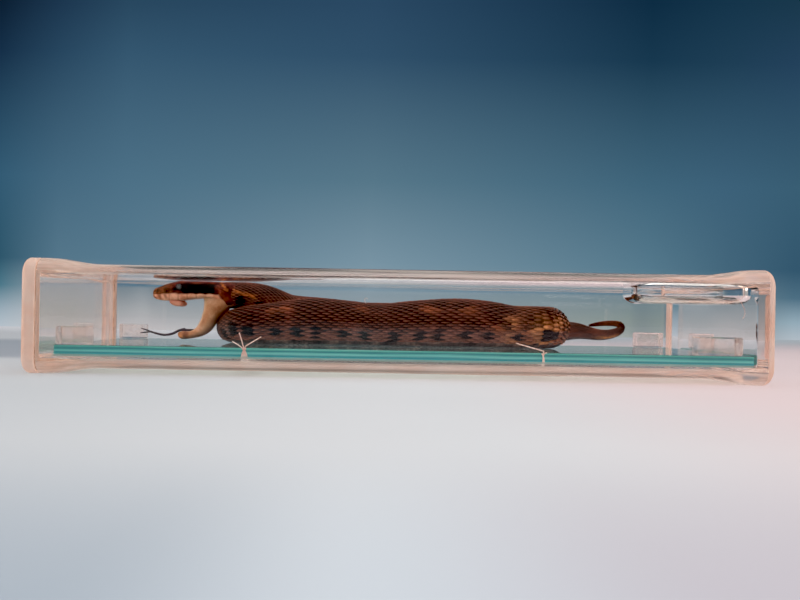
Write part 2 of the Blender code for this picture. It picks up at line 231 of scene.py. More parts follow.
# Painted shade: the front of the board, near the camera, is darkened, most of all towards the left.
front = add(tree, "ShaderNodeMapRange",
    {"Value": parts.outputs["X"], "From Min": -0.045, "From Max": 0.02})
painted_vignette_ramp = add(tree, "ShaderNodeValToRGB", {0: front},
    [(0.0, "#CDD8E2"), (0.45, "#F2F9FF"), (1.0, "#E9E3EA")])
near = add(tree, "ShaderNodeMapRange",
    {"Value": parts.outputs["Y"], "From Min": -0.22, "From Max": -0.33},
    interpolation_type="SMOOTHSTEP")
painted_vignette = add(tree, "ShaderNodeMix", {0: near, 6: "#FFFFFF", 7: painted_vignette_ramp}, data_type="RGBA")
# Painted shadow: a darker strip on the board left of the jar, from just behind its left end
# backwards.
depth = add(tree, "ShaderNodeMapRange",
    {"Value": parts.outputs["Y"], "From Min": 0.0, "From Max": 0.4})
painted_shadow_ramp = add(tree, "ShaderNodeValToRGB", {0: depth},
    [(0.03, "#FFFFFF"), (0.12, "#CDD1D8"), (0.6, "#CBD1D8"), (0.85, "#FFFFFF")])
left = add(tree, "ShaderNodeMapRange",
    {"Value": parts.outputs["X"], "From Min": -0.14, "From Max": -0.22},
    interpolation_type="SMOOTHSTEP")
painted_shadow = add(tree, "ShaderNodeMix", {0: left, 6: "#FFFFFF", 7: painted_shadow_ramp}, data_type="RGBA")
toned = board
for share in (lift, painted_vignette, painted_shadow):
    toned = add(tree, "ShaderNodeVectorMath", {0: toned, 1: share}, operation="MULTIPLY")
matt = add(tree, "ShaderNodeBsdfPrincipled",
    {"Base Color": toned, "Roughness": 0.75, "Specular IOR Level": 0.2})
# Far back the board turns into a glow of its own, darker towards the right: painted light and
# shade, like the wall.
foot = add(tree, "ShaderNodeValToRGB", {0: sideways},
    [(0.0, "#C4C5CA"), (0.5, "#B8BABC"), (1.0, "#A2ABB2")])
glow = add(tree, "ShaderNodeEmission", {"Color": above_black(tree, foot)})
away = add(tree, "ShaderNodeMapRange",
    {"Value": parts.outputs["Y"], "From Min": 0.25, "From Max": 0.78},
    interpolation_type="SMOOTHSTEP")
fade = add(tree, "ShaderNodeMixShader", {0: away, 1: matt, 2: glow})
finish_material(tree, fade)
table_top.data.materials.append(paper)
print("table and where it fades:", WALL_Y, "m behind the jar")

# %% Wall behind the table
wall = sheet("blue_wall", [(-3, WALL_Y, 0), (3, WALL_Y, 0), (3, WALL_Y, 1.6), (-3, WALL_Y, 1.6)])
paint, tree, where = new_material("softly lit blue wall")
parts = add(tree, "ShaderNodeSeparateXYZ", {0: where})
rise = add(tree, "ShaderNodeMapRange", {"Value": parts.outputs["Z"], "From Max": 0.52})
tone, before = None, None
for place, codes in WALL_COLUMNS.items():
    column = add(tree, "ShaderNodeValToRGB", {0: rise}, list(zip(WALL_HEIGHTS, codes, strict=True)),
        "LINEAR")
    if tone:
        across = add(tree, "ShaderNodeMapRange",
            {"Value": parts.outputs["X"], "From Min": before, "From Max": place})
        column = add(tree, "ShaderNodeMix", {0: across, 6: tone, 7: column}, data_type="RGBA")
    tone, before = column, place
finish_material(tree, add(tree, "ShaderNodeEmission", {"Color": above_black(tree, tone)}))
wall.data.materials.append(paint)
print("columns of wall colour:", len(WALL_COLUMNS))

# %% [markdown]
# Plain soft light: one large panel overhead, a weaker one on the camera's side, and a small warm
# one beyond each end of the jar, which makes the glass glow peach there. Big panels give the soft
# edges that the shadow under the jar has. The room behind the camera is dark, so that the jar's
# front wall mirrors nothing and blacks stay black.


# %% Lights
def panel(name, place, aim, size, watts, code):
    data = bpy.data.lights.new(name, "AREA")
    data.shape, data.size, data.size_y = "RECTANGLE", size[0], size[1]
    data.energy, data.color = watts, linear(code)[:3]
    made = bpy.data.objects.new(name, data)
    made.location = place
    made.rotation_euler = (Vector(aim) - Vector(place)).to_track_quat("-Z", "Y").to_euler()
    scene.collection.objects.link(made)
    return made


panel("overhead_panel", (0.05, -0.05, 1.0), (0, 0, 0), (1.6, 1.2), 9, "#FFFBF5")
panel("front_panel", (0.15, -1.3, 0.55), (0, 0, 0.02), (1.2, 0.5), 7, "#FFF4EA")
panel("left_panel", (-0.95, -0.1, 0.25), (-0.1, 0, 0.02), (0.3, 0.3), 3.6, "#FFD9C2")
panel("right_panel", (0.95, -0.1, 0.25), (0.1, 0, 0.02), (0.3, 0.3), 1.6, "#FFD9C2")
world = bpy.data.worlds.new("studio_air")
world.use_nodes = True
air_tree = world.node_tree
way = add(air_tree, "ShaderNodeSeparateXYZ",
    {0: add(air_tree, "ShaderNodeTexCoord").outputs["Generated"]})
behind = add(air_tree, "ShaderNodeMapRange",
    {"Value": way.outputs["Y"], "From Min": -0.95, "From Max": -0.3, "To Min": 0.05, "To Max": 0.6})
air_tree.nodes["Background"].inputs["Color"].default_value = linear("#D6D4D2")
air_tree.links.new(behind.outputs[0], air_tree.nodes["Background"].inputs["Strength"])
scene.world = world

# %% [markdown]
# ## The glass
# Clear glass needs exact surfaces: a flat wall whose shading leans even a little bends what is
# seen through it. So each glass piece is stacked from rounded rectangles whose normals are worked
# out with their points. Points that coincide are merged, so the solid is closed.


# %% Helpers for turned out glass solids
def outline(half_a, low_b, high_b, radius, steps=10, centre_a=0.0):
    """Rows of a, b and the outward direction round a rounded rectangle."""
    rows = []
    for quarter, (a, b) in enumerate([(1, 1), (-1, 1), (-1, -1), (1, -1)]):
        at_a = centre_a + a * (half_a - radius)
        at_b = high_b - radius if b > 0 else low_b + radius
        for turn in np.radians(90 * quarter + np.linspace(0, 90, steps + 1)):
            c, s = np.cos(turn), np.sin(turn)
            rows.append((at_a + radius * c, at_b + radius * s, c, s))
    return np.array(rows)


def stack(rings, axis=0, inward=False):
    """Skin through rows of place, outline and lean: the points, normals and quads."""
    points, normals, quads = [], [], []
    sign = -1 if inward else 1
    for place, ring, lean in rings:
        flat = np.sqrt(max(0.0, 1 - lean * lean))
        at = np.full((len(ring), 1), place)
        turn = np.hstack([np.full((len(ring), 1), lean), sign * flat * ring[:, 2:]])
        both = [np.hstack([at, ring[:, :2]]), turn]
        if axis == 2:
            both = [rows[:, [1, 2, 0]] for rows in both]
        points.append(both[0])
        normals.append(both[1])
    count = len(rings[0][1])
    for k in range(len(rings) - 1):
        for i in range(count):
            j = (i + 1) % count
            quad = (k * count + i, k * count + j, (k + 1) * count + j, (k + 1) * count + i)
            quads.append(quad)
    return np.vstack(points), np.vstack(normals), quads


def lid_face(place, ring, lean, axis=0):
    """One flat face that closes a stack."""
    points, _, _ = stack([(place, ring, 0)], axis)
    normal = [0.0, 0.0, 0.0]
    normal[axis] = lean
    return points, np.tile(normal, (len(points), 1)), [tuple(range(len(points)))]


def rim_face(place, outer, inner, lean):
    """The flat ring between two outlines at one place, and which way it faces."""
    n = len(outer)
    points = np.vstack([stack([(place, ring, 0)])[0] for ring in (outer, inner)])
    quads = [(i, (i + 1) % n, n + (i + 1) % n, n + i) for i in range(n)]
    return points, np.tile((lean, 0, 0), (2 * n, 1)), quads


def solid(name, skins, materials, body):
    """One closed object from skins, each with the number of its material."""
    points = np.vstack([skin[0] for skin, _ in skins])
    _, first, index = np.unique(np.round(points, 4), axis=0, return_index=True, return_inverse=True)
    index, faces, normals, slots, offset = index.reshape(-1), [], [], [], 0
    for (own, turned, quads), slot in skins:
        for quad in quads:
            a, b, c = (own[quad[i]] for i in (0, 1, 2))
            facing = np.dot(np.cross(b - a, c - b), turned[list(quad)].sum(0))
            ordered = quad if facing > 0 else quad[::-1]
            faces.append([int(index[offset + i]) for i in ordered])
            normals += [turned[i] for i in ordered]
            slots.append(slot)
        offset += len(own)
    mesh = bpy.data.meshes.new(name)
    mesh.from_pydata(points[first] / 1000, [], faces)
    mesh.shade_smooth()
    mesh.normals_split_custom_set([Vector(n).normalized() for n in normals])
    mesh.polygons.foreach_set("material_index", slots)
    for finish in materials:
        mesh.materials.append(finish)
    made = bpy.data.objects.new(name, mesh)
    scene.collection.objects.link(made)
    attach(made, body)
    return made


print("points round one outline:", len(outline(10, 0, 10, 2)))

# %% [markdown]
# Old soda-lime glass is faintly peach where it's long to look through, and slightly wavy. On its
# outside it meets air, so its refractive index is the usual 1.5. On its inside it meets alcohol
# and water at 1.36, so there only the ratio 1.10 counts, and the walls almost vanish. One material
# mixes both by the face, which keeps the tint inside the glass in one volume. Lamps pass straight
# through to what is inside, which stands in for the bright patches of light that glass focuses.


# %% Glass materials
DRY_GLASS, WET_GLASS, WET_PLATE, AIR_IN_FLUID = 1.5, 1.103, 1.118, 0.735
WAVE_LENGTH = 26.0


def lamps_through(tree, glass, code):
    path = add(tree, "ShaderNodeLightPath")
    either = add(tree, "ShaderNodeMath",
        {0: path.outputs["Is Shadow Ray"], 1: path.outputs["Is Diffuse Ray"]}, operation="MAXIMUM")
    clear = add(tree, "ShaderNodeBsdfTransparent", {"Color": code})
    return add(tree, "ShaderNodeMixShader", {0: either, 1: glass, 2: clear})


def scattering(tree, share, looks):
    """A dull skin: the share of its light that seeps through, and the rest thrown back."""
    back = add(tree, "ShaderNodeBsdfDiffuse", looks)
    seep = add(tree, "ShaderNodeBsdfTranslucent", looks)
    return add(tree, "ShaderNodeMixShader", {0: share, 1: back, 2: seep})


def milky(tree, where, bump, worn):
    """The skin that grit leaves on glass: it scatters some light back and lets some seep in."""
    cloud = add(tree, "ShaderNodeTexNoise", {"Vector": where, "Scale": 70.0, "Detail": 3.0})
    peach = add(tree, "ShaderNodeValToRGB", {0: cloud}, [(0.3, "#F6D2C0"), (0.7, "#FFEBE0")])
    tone = add(tree, "ShaderNodeMix", {0: worn, 6: "#F4F2F4", 7: peach}, data_type="RGBA")
    return scattering(tree, 0.45, {"Color": tone, "Normal": bump})


def jar_glass(name, tint, density):
    """One material for a whole glass piece: its faces say if they are wetted or ground."""
    made, tree, where = new_material(name)
    wave = add(tree, "ShaderNodeTexNoise",
        {"Vector": where, "Scale": 1000 / WAVE_LENGTH, "Detail": 1.5})
    bump = add(tree, "ShaderNodeBump", {"Height": wave, "Strength": 0.35, "Distance": 0.00012})
    grit = add(tree, "ShaderNodeTexNoise", {"Vector": where, "Scale": 1400.0, "Detail": 3.0})
    rough = add(tree, "ShaderNodeBump", {"Height": grit, "Strength": 0.4, "Distance": 0.0002})
    dry = add(tree, "ShaderNodeBsdfGlass",
        {"Color": "#FFFFFF", "Roughness": 0.0, "IOR": DRY_GLASS, "Normal": bump})
    wet = add(tree, "ShaderNodeBsdfGlass", {"Color": "#FFFFFF", "Roughness": 0.0, "IOR": WET_GLASS})
    inside = add(tree, "ShaderNodeAttribute", attribute_name="wetted")
    both = add(tree, "ShaderNodeMixShader", {0: inside.outputs["Fac"], 1: dry, 2: wet})
    dull = add(tree, "ShaderNodeBsdfGlass",
        {"Color": "#FFF7F2", "Roughness": 0.3, "IOR": DRY_GLASS, "Normal": rough})
    worn = add(tree, "ShaderNodeAttribute", attribute_name="ground")
    matt = add(tree, "ShaderNodeMixShader",
        {0: 0.75, 1: dull, 2: milky(tree, where, rough, worn.outputs["Fac"])})
    drawn = add(tree, "ShaderNodeMapping", {"Vector": where, "Scale": (14.0, 420.0, 420.0)})
    streak = add(tree, "ShaderNodeTexNoise", {"Vector": drawn, "Scale": 1.0, "Detail": 2.0})
    uneven = add(tree, "ShaderNodeMapRange",
        {"Value": streak, "From Min": 0.35, "From Max": 0.65, "To Min": 0.5, "To Max": 2.4})
    patchy = add(tree, "ShaderNodeMath", {0: worn.outputs["Fac"], 1: uneven}, operation="POWER")
    share = add(tree, "ShaderNodeMix",
        {0: inside.outputs["Fac"], 2: patchy, 3: worn.outputs["Fac"]})
    all_three = add(tree, "ShaderNodeMixShader", {0: share, 1: both, 2: matt})
    soak = add(tree, "ShaderNodeVolumeAbsorption", {"Color": tint, "Density": density})
    finish_material(tree, lamps_through(tree, all_three, "#FDFAF8"), soak)
    return made


GLASS = jar_glass("old soda-lime jar glass", "#F0CFC0", 4.5)
print("glass material:", GLASS.name)

# %% [markdown]
# The jar body was pressed in a mould as one box with a flared end at the mouth and at the base.
# The outer skin follows the flares, the inner skin is a straight box with rounded corners, and the
# flat rim between them at the mouth was ground on an iron plate, so it is matt.

# %% Jar body
run = 24.0
eased = [(0, 1), (0.08, 1), (0.15, 0.995), (0.27, 0.93), (0.4, 0.8), (0.51, 0.62), (0.62, 0.42),
         (0.72, 0.24), (0.82, 0.1), (0.91, 0.03), (1, 0)]
outer = [(MOUTH, FLARE - 0.3, -1.0), (MOUTH + 0.09, FLARE - 0.09, -0.7), (MOUTH + 0.3, FLARE, 0.0)]
places = [(MOUTH + 0.3 + r * run, share * FLARE) for r, share in eased[1:]]
places += [(x, 0.0) for x in (-108, -98, 0, 98, 110)]
places += [(END - 3.6 - r * run, share * FLARE) for r, share in eased[::-1]]
for k, (x, out) in enumerate(places):
    before, after = places[max(k - 1, 0)], places[min(k + 1, len(places) - 1)]
    slope = (after[1] - before[1]) / (after[0] - before[0])
    outer.append((x, out, -slope / np.hypot(1, slope)))
for turn in np.radians(np.linspace(9, 90, 10)):
    outer.append((END - 3.6 * (1 - np.sin(turn)), FLARE - 3.6 * (1 - np.cos(turn)), np.sin(turn)))
outer_rings = [
    (x, outline(HALF_WIDTH + out, BOTTOM - out, TOP + out, 5 + out / 2), lean) for x, out,
    lean in outer
]
inner_rings = [(MOUTH, outline(INSIDE, FLOOR, CEILING, 2.4), 0.0)]
for turn in np.radians(np.linspace(0, 90, 9)):
    inset = 2.0 * (1 - np.cos(turn))
    ring = outline(INSIDE - inset, FLOOR + inset, CEILING - inset, 2.4 - inset / 2)
    inner_rings.append((BASE_INSIDE - 2.0 * (1 - np.sin(turn)), ring, -np.sin(turn)))
jar = solid(
    "jar_glass",
    [
        (stack(outer_rings[:-10]), 0), (stack(outer_rings[-11:]), 1),
        (lid_face(END, outer_rings[-1][1], 1.0), 0),
        (stack(inner_rings, inward=True), 0), (lid_face(BASE_INSIDE, inner_rings[-1][1], -1.0), 0),
        (rim_face(MOUTH, outer_rings[0][1], inner_rings[0][1], -1.0), 1),
    ],
    [GLASS, GLASS], "jar",
)


def mark_faces(piece, name, test):
    """Gives each face a share between 0 and 1, worked out from the face."""
    shares = piece.data.attributes.new(name, "FLOAT", "FACE")
    shares.data.foreach_set("value", [float(test(f)) for f in piece.data.polygons])


def mark_ground(piece, scuffs):
    """Ground faces are the ones with the second material; rounded long edges are a little scuffed,
    and a film of sediment dulls the inner edges along the floor."""
    near_top, near_floor, at_ends, sediment = 0.34, 0.75, 0.7, 0.3
    mesh = piece.data
    shares = mesh.attributes.new("ground", "FLOAT", "CORNER").data
    for face in mesh.polygons:
        rounded = min(abs(face.normal.y), abs(face.normal.z)) > 0.12
        middle = near_top if face.center.z > 0.02 else near_floor
        for corner in face.loop_indices:
            at = mesh.vertices[mesh.loops[corner].vertex_index].co
            scuff = middle + (at_ends - middle) * np.clip((abs(at.x) - 0.1) / 0.03, 0, 1)
            if in_cavity(face.center * 1000):
                scuff = sediment * (face.center.z < 0.012)
            shares[corner].value = 1.0 if face.material_index else scuffs * rounded * scuff
    mesh.polygons.foreach_set("material_index", [0] * len(mesh.polygons))
    mesh.materials.pop(index=1)


def in_cavity(at):
    return (abs(at.y) < INSIDE + 0.01 and FLOOR - 0.01 < at.z < CEILING + 0.01
            and LID_INNER - 0.01 < at.x < BASE_INSIDE + 0.01)


mark_faces(jar, "wetted", lambda face: in_cavity(face.center * 1000))
mark_ground(jar, 1.0)
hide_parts("jar_body")
print("jar faces:", len(jar.data.polygons))

# %% [markdown]
# The lid is a thick plate of the same glass, with a rounded outer edge. Its edge was ground, so the
# end of the jar reads as a matt peach band. Its inner face is a flat ring on the seal round a
# window that touches the fluid and has a thin cloudy film.

# %% Lid
lid_rings = []
for turn in np.radians(np.linspace(0, 90, 8)):
    inset = 2.6 * (1 - np.sin(turn))
    ring = outline(WIDEST - inset, inset, TALLEST - inset, 6.1 - inset / 2)
    lid_rings.append((LID_END + 2.6 * (1 - np.cos(turn)), ring, -np.cos(turn)))
edge_rings = [(x, lid_rings[-1][1], 0.0) for x in (LID_END + 2.6, LID_INNER - 0.15)]
last = outline(WIDEST - 0.15, 0.15, TALLEST - 0.15, 6.0)
edge_rings += [(LID_INNER, last, 0.8)]
window = outline(INSIDE, FLOOR, CEILING, 2.4)
lid = solid(
    "lid_glass",
    [
        (lid_face(LID_END, lid_rings[0][1], -1.0), 0), (stack(lid_rings), 1),
        (stack(edge_rings), 1),
        (rim_face(LID_INNER, last, window, 1.0), 1), (lid_face(LID_INNER, window, 1.0), 0),
    ],
    [GLASS, GLASS], "lid",
)
mark_faces(lid, "wetted", lambda f: f.center.x * 1000 > LID_INNER - 0.01
    and abs(f.center.y) < 0.001)
mark_ground(lid, 0.0)
CLOUDY = 0.17
film = lid.data.attributes["ground"].data
for face, wet in zip(lid.data.polygons, lid.data.attributes["wetted"].data, strict=True):
    for corner in face.loop_indices:
        film[corner].value = max(film[corner].value, CLOUDY * wet.value)
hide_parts("lid_plate")
print("lid faces:", len(lid.data.polygons))

# %% [markdown]
# The seal is old pitch and wax, pressed thin between the two ground faces. It keeps the shape that
# the model gives it and gets a dull brown material with a fine crumb.

# %% Seal
wax = mottled(
    "pitch and wax seal", 350.0, 4.0, [(0.3, "#B08A74"), (0.7, "#DDB8A2")], {"Roughness": 0.6},
    (0.3, 0.0003))
dress(frame["nodes"]["lid_seal"], wax)
print("seal material:", wax.name)

# %% [markdown]
# The back plate is cut float glass. Iron tints it teal, which only shows where the eye looks along
# it: at the cut edge, through the whole width. The tint is a volume, and because the plate lies in
# fluid, its index is the ratio of 1.52 to 1.36. The cut edge also gets a dull skin whose glow and
# stripes are painted light. Its shape in the model is right, so it stays.

# %% Back plate and corner blocks
teal, tree, where = new_material("float glass")
cut = add(tree, "ShaderNodeBsdfGlass", {"Color": "#FDFFFF", "Roughness": 0.015, "IOR": WET_PLATE})
soak = add(tree, "ShaderNodeVolumeAbsorption", {"Color": "#45C9B4", "Density": 8.5})
plate = frame["nodes"]["back_plate"]
corners = np.array([corner[:] for corner in plate.bound_box])
middle, half = (corners.min(0) + corners.max(0)) / 2, (corners.max(0) - corners.min(0)) / 2
off = add(tree, "ShaderNodeVectorMath", {0: where, 1: tuple(middle)}, operation="SUBTRACT")
off = add(tree, "ShaderNodeVectorMath", {0: off, 1: tuple(1 / half)}, operation="MULTIPLY")
parts = add(tree, "ShaderNodeSeparateXYZ", {0: off})
reach = add(tree, "ShaderNodeMath", {0: parts.outputs["Y"]}, operation="ABSOLUTE")
# On the cut edge a dull skin takes most of the look. Its teal is the glass's own tint. Its glow and
# its lighter and darker stripes by height are painted light: they stand for light carried along the
# plate and for the stripes of its inner reflections.
on_cut = add(tree, "ShaderNodeMapRange",
    {"Value": reach, "From Min": 0.998, "From Max": 0.999, "To Max": 0.72})
drawn = add(tree, "ShaderNodeVectorMath", {0: where, 1: (18, 1, 700)}, operation="MULTIPLY")
streak = add(tree, "ShaderNodeTexNoise", {"Vector": drawn, "Scale": 1.0, "Detail": 2.0})
level = add(tree, "ShaderNodeMapRange",
    {"Value": parts.outputs["Z"], "From Min": -1.0, "From Max": 1.0, "To Min": -0.15,
        "To Max": 0.85})
level = add(tree, "ShaderNodeMath", {0: streak, 1: 0.3, 2: level}, operation="MULTIPLY_ADD")
painted_edge_light = add(tree, "ShaderNodeValToRGB", {0: level}, [
    (0.0, "#6CCDC4"), (0.2, "#4DBBC6"), (0.36, "#3AA5BA"), (0.5, "#9AF2F2"), (0.62, "#74DCDC"),
    (0.72, "#2E8E9E"),
    (0.86, "#66CCC8"), (1.0, "#A8F0E8")], "LINEAR")
edge = scattering(tree, 0.5, {"Color": painted_edge_light})
either = add(tree, "ShaderNodeMixShader", {0: on_cut, 1: cut, 2: edge})
finish_material(tree, lamps_through(tree, either, "#FAFEFC"), soak)
dress(plate, teal)
chip, tree, where = new_material("hand cut clear glass")
saw = add(tree, "ShaderNodeTexNoise", {"Vector": where, "Scale": 260.0, "Detail": 3.0})
bump = add(tree, "ShaderNodeBump", {"Height": saw, "Strength": 0.5, "Distance": 0.0004})
clear = add(tree, "ShaderNodeBsdfGlass",
    {"Color": "#FFFAF8", "Roughness": 0.16, "IOR": WET_PLATE, "Normal": bump})
sawn = scattering(tree, 0.5, {"Color": "#FFEFEA", "Normal": bump})
spread = add(tree, "ShaderNodeMapRange",
    {"Value": saw, "From Min": 0.4, "From Max": 0.65, "To Min": 0.03, "To Max": 0.24})
both = add(tree, "ShaderNodeMixShader", {0: spread, 1: clear, 2: sawn})
finish_material(tree, lamps_through(tree, both, "#FBF6F2"))
blocks = [name for name in frame["nodes"] if name.startswith("corner_block")]
for name in blocks:
    dress(frame["nodes"][name], chip)
print("glass in the fluid: back_plate and", len(blocks), "blocks")

# %% [markdown]
# ## The snake
# The snake is one long tapering tube that lies in a flat S on the plate. Its centre line is a row
# of key points with a radius each, drawn through with a smooth spline. Each point also gets its
# own frame: along the body, up out of the back, and to the side. The frame is carried from point
# to point without twisting, because a snake's back stays a back round every bend.


# %% Centre line of the snake
def smooth(keys, step):
    """Catmull-Rom through the rows of keys, sampled about every step of their first 3 columns."""
    keys = np.asarray(keys, float)
    padded = np.vstack([2 * keys[0] - keys[1], keys, 2 * keys[-1] - keys[-2]])
    rows = []
    for i in range(1, len(padded) - 2):
        a, b, c, d = padded[i - 1 : i + 3]
        count = max(1, round(np.linalg.norm((c - b)[:3]) / step))
        for t in np.arange(count) / count:
            rows.append(0.5 * (2 * b + (c - a) * t + (2 * a - 5 * b + 4 * c - d) * t**2
                               + (3 * b - a - 3 * c + d) * t**3))
    return np.array([*rows, keys[-1]])


def body_keys():
    """Rows of x, y, height above the plate and radius, from the neck to the tip of the tail."""
    rest, near_y, middle_y, far_y = 0.25, -9.5, 11.3, 29.5
    keys = [
        (-82, 6.0, 22.3, 5.6), (-76.9, 6.0, 22.05, 6.0), (-73, 6.2, 22.0, 6.05),
        (-69, 6.5, 21.9, 6.2),
        (-65, 6.9, 21.4, 6.45), (-61, 7.3, 20.4, 6.75), (-57, 7.8, 18.9, 7.05),
        (-53, 8.3, 16.9, 7.35), (-49, 8.8, 15.2, 7.6), (-44, 9.3, 14.2, 7.95),
        (-38, 9.9, 13.3, 8.4), (-31, 10.5, 12.3, 8.8), (-23, 10.9, 10.8, 9.2),
        (-14, 11.2, 9.95, 9.5),
    ]
    keys += [(x, middle_y, r + rest, r) for x, r in [(-3, 9.6), (15, 9.6), (38, 9.5), (54, 9.4)]]
    bend_x, bend_y = 61.5, (near_y + middle_y) / 2
    for turn in np.radians([75, 45, 15, -15, -45, -75]):
        reach = middle_y - bend_y
        keys.append((bend_x + reach * np.cos(turn), bend_y + reach * np.sin(turn), 9.55, 9.3))
    keys += [
        (x, near_y, r + rest, r)
        for x, r in [(54, 9.35), (47, 9.95), (38.6, 10.5), (29.7, 10.7), (20.8, 10.5),
                     (6.6, 9.9), (-6.2, 9.2), (-20, 9.8), (-33.6, 10.3), (-45, 9.8), (-53, 9.2)]
    ]
    left_x, left_y = -55.5, (near_y + far_y) / 2
    reach = far_y - left_y
    for degrees, r in [(-105, 8.7), (-130, 8.1), (-155, 7.5), (180, 7.3), (155, 7.3),
                       (130, 7.4), (105, 7.5)]:
        turn = np.radians(degrees)
        keys.append((left_x + reach * np.cos(turn), left_y + reach * np.sin(turn), r + rest, r))
    keys += [(x, far_y, r + rest, r) for x, r in [(-50, 7.5), (-25, 7.4), (0, 7.3), (25, 7.1)]]
    keys += [
        (50, 29.4, 7.2, 6.9), (64, 28.8, 7.05, 6.4), (75, 27.8, 7.1, 5.6), (82, 27.0, 7.6, 4.8),
        (89.4, 26.3, 8.0, 3.9), (95, 26, 7.2, 3.1), (99.6, 26, 6.4, 2.65), (103.2, 26, 6.3, 2.4),
        (106.6, 26, 6.75, 2.15), (109.5, 26.1, 7.75, 1.95), (111.4, 26.2, 9.0, 1.75),
        (111.9, 26.3, 10.3, 1.6), (111.1, 26.5, 11.4, 1.45), (109, 26.7, 12.0, 1.3),
        (105.7, 26.9, 12.1, 1.2), (102, 27.0, 11.8, 1.0), (99, 27.1, 11.35, 0.75),
        (96.8, 27.2, 10.9, 0.35),
    ]
    return keys


line = smooth(body_keys(), 1.0)
spine = line[:, :3] + (0, 0, SEAT)
radius = np.clip(line[:, 3], 0.3, None)
steps = np.linalg.norm(np.diff(spine, axis=0), axis=1)
along = np.concatenate([[0], np.cumsum(steps)])
heading = np.gradient(spine, along, axis=0)
heading /= np.linalg.norm(heading, axis=1, keepdims=True)
back = np.empty_like(spine)
back[0] = (0, 0, 1)
for k in range(len(spine)):
    carried = back[k - 1] if k else back[0]
    carried = carried - heading[k] * np.dot(carried, heading[k])
    back[k] = carried / np.linalg.norm(carried)
flank = np.cross(heading, back)
print("snake length in mm:", round(along[-1]))

# %% [markdown]
# Vipers have about 23 rows of scales round the middle of the back and flanks, and one wide plate
# for each ring on the belly. Rings stand closer together where the body is thin. Here each ring
# gets its place on the spine, and each scale its place, turn, size and markings.


# %% Where the scales sit
def at(distance, rows):
    """The rows of the spine, read at any distance along it."""
    rows = np.asarray(rows, float)
    if rows.ndim == 1:
        return np.interp(distance, along, rows)
    return np.stack([np.interp(distance, along, rows[:, i]) for i in range(rows.shape[1])], -1)


ring_at = [4.0]
while ring_at[-1] < along[-1] - 1.2:
    ring_at.append(ring_at[-1] + max(0.235 * at(ring_at[-1], radius), 0.95))
ring_at = np.array(ring_at)
ROWS, DORSAL = 23, np.radians(137)
row_angle = np.linspace(-DORSAL, DORSAL, ROWS)
pitch = np.gradient(ring_at)
rng = np.random.default_rng(7)


def near_run(x):
    """Distance along the spine where the near run passes this x."""
    rows = (spine[:, 1] < -5) & (spine[:, 0] < 75)
    order = np.argsort(spine[rows, 0])
    return np.interp(x, spine[rows, 0][order], along[rows][order])


def marked(distance, angle, marks):
    """How far inside the nearest mark a place on the skin lies, from 0 outside to 1 inside."""
    size = at(distance, radius)
    best = np.zeros_like(distance)
    for centre, turn, long, tall in marks:
        off = np.hypot((distance - centre) / long, (angle - turn) * size / tall)
        best = np.maximum(best, np.clip((1.25 - off) / 0.5, 0, 1))
    return best


spots = [(near_run(x), np.radians(-t), 2.15, 2.5) for x, t in [
    (-76.5, 96), (-70.4, 103), (-62.4, 107), (-52.2, 112), (-42.4, 113), (-34, 117), (-22, 121),
    (-11.8, 122), (0.7, 124), (12.2, 120), (20.7, 119), (33.1, 121), (43.3, 117), (56.6, 118),
    (66.0, 113)]]
covered = (near_run(-76.5), near_run(66.0))
for distance in np.arange(26, along[-1] - 40, 9.6):
    if not min(covered) - 5 < distance < max(covered) + 5:
        turn = np.radians(116 + rng.uniform(-5, 5))
        spots.append((distance + rng.uniform(-1, 1), -turn, 2.1, 2.5))
for distance in np.arange(10, along[-1] - 40, 9.6):
    spots.append((distance + rng.uniform(-1, 1), np.radians(117 + rng.uniform(-5, 5)), 2.1, 2.5))
blotches = [(near_run(x), np.radians(-t), long, tall) for x, t, long, tall in [
    (-62, 62, 4, 3), (-50, 70, 3.5, 3), (-38, 78, 7, 4.5), (-30, 96, 5, 3.4), (-17, 66, 6, 3.2),
    (-9, 84, 6.5, 4), (4, 98, 4, 3), (14, 74, 4.5, 2.6), (22.5, 92, 3.4, 2.6), (36, 96, 5.5, 3.2),
    (45, 60, 4, 4.5), (51, 88, 3, 3), (-24, 45, 5, 3), (8, 40, 6, 3), (30, 38, 5, 3),
    (60, 80, 4, 3)]]
for k, distance in enumerate(np.arange(8, along[-1] - 20, 15.0)):
    turn = np.radians(26 if k % 2 else -26)
    blotches.append((distance, turn, 5.2, 5.0))
    if not min(covered) < distance < max(covered):
        blotches.append((distance + 6, -2.9 * turn, 4.0, 3.2))
warm_marks = [(near_run(x), np.radians(-t), long, tall) for x, t, long, tall in [
    (18, 46, 5, 2.8), (33, 52, 4, 2.6), (25, 28, 6, 2.4), (-13, 44, 5, 1.6), (47, 104, 3, 2.6),
    (-50, 50, 5, 1.6)]]
print("rings:", len(ring_at), "spots:", len(spots), "blotches:", len(blotches))


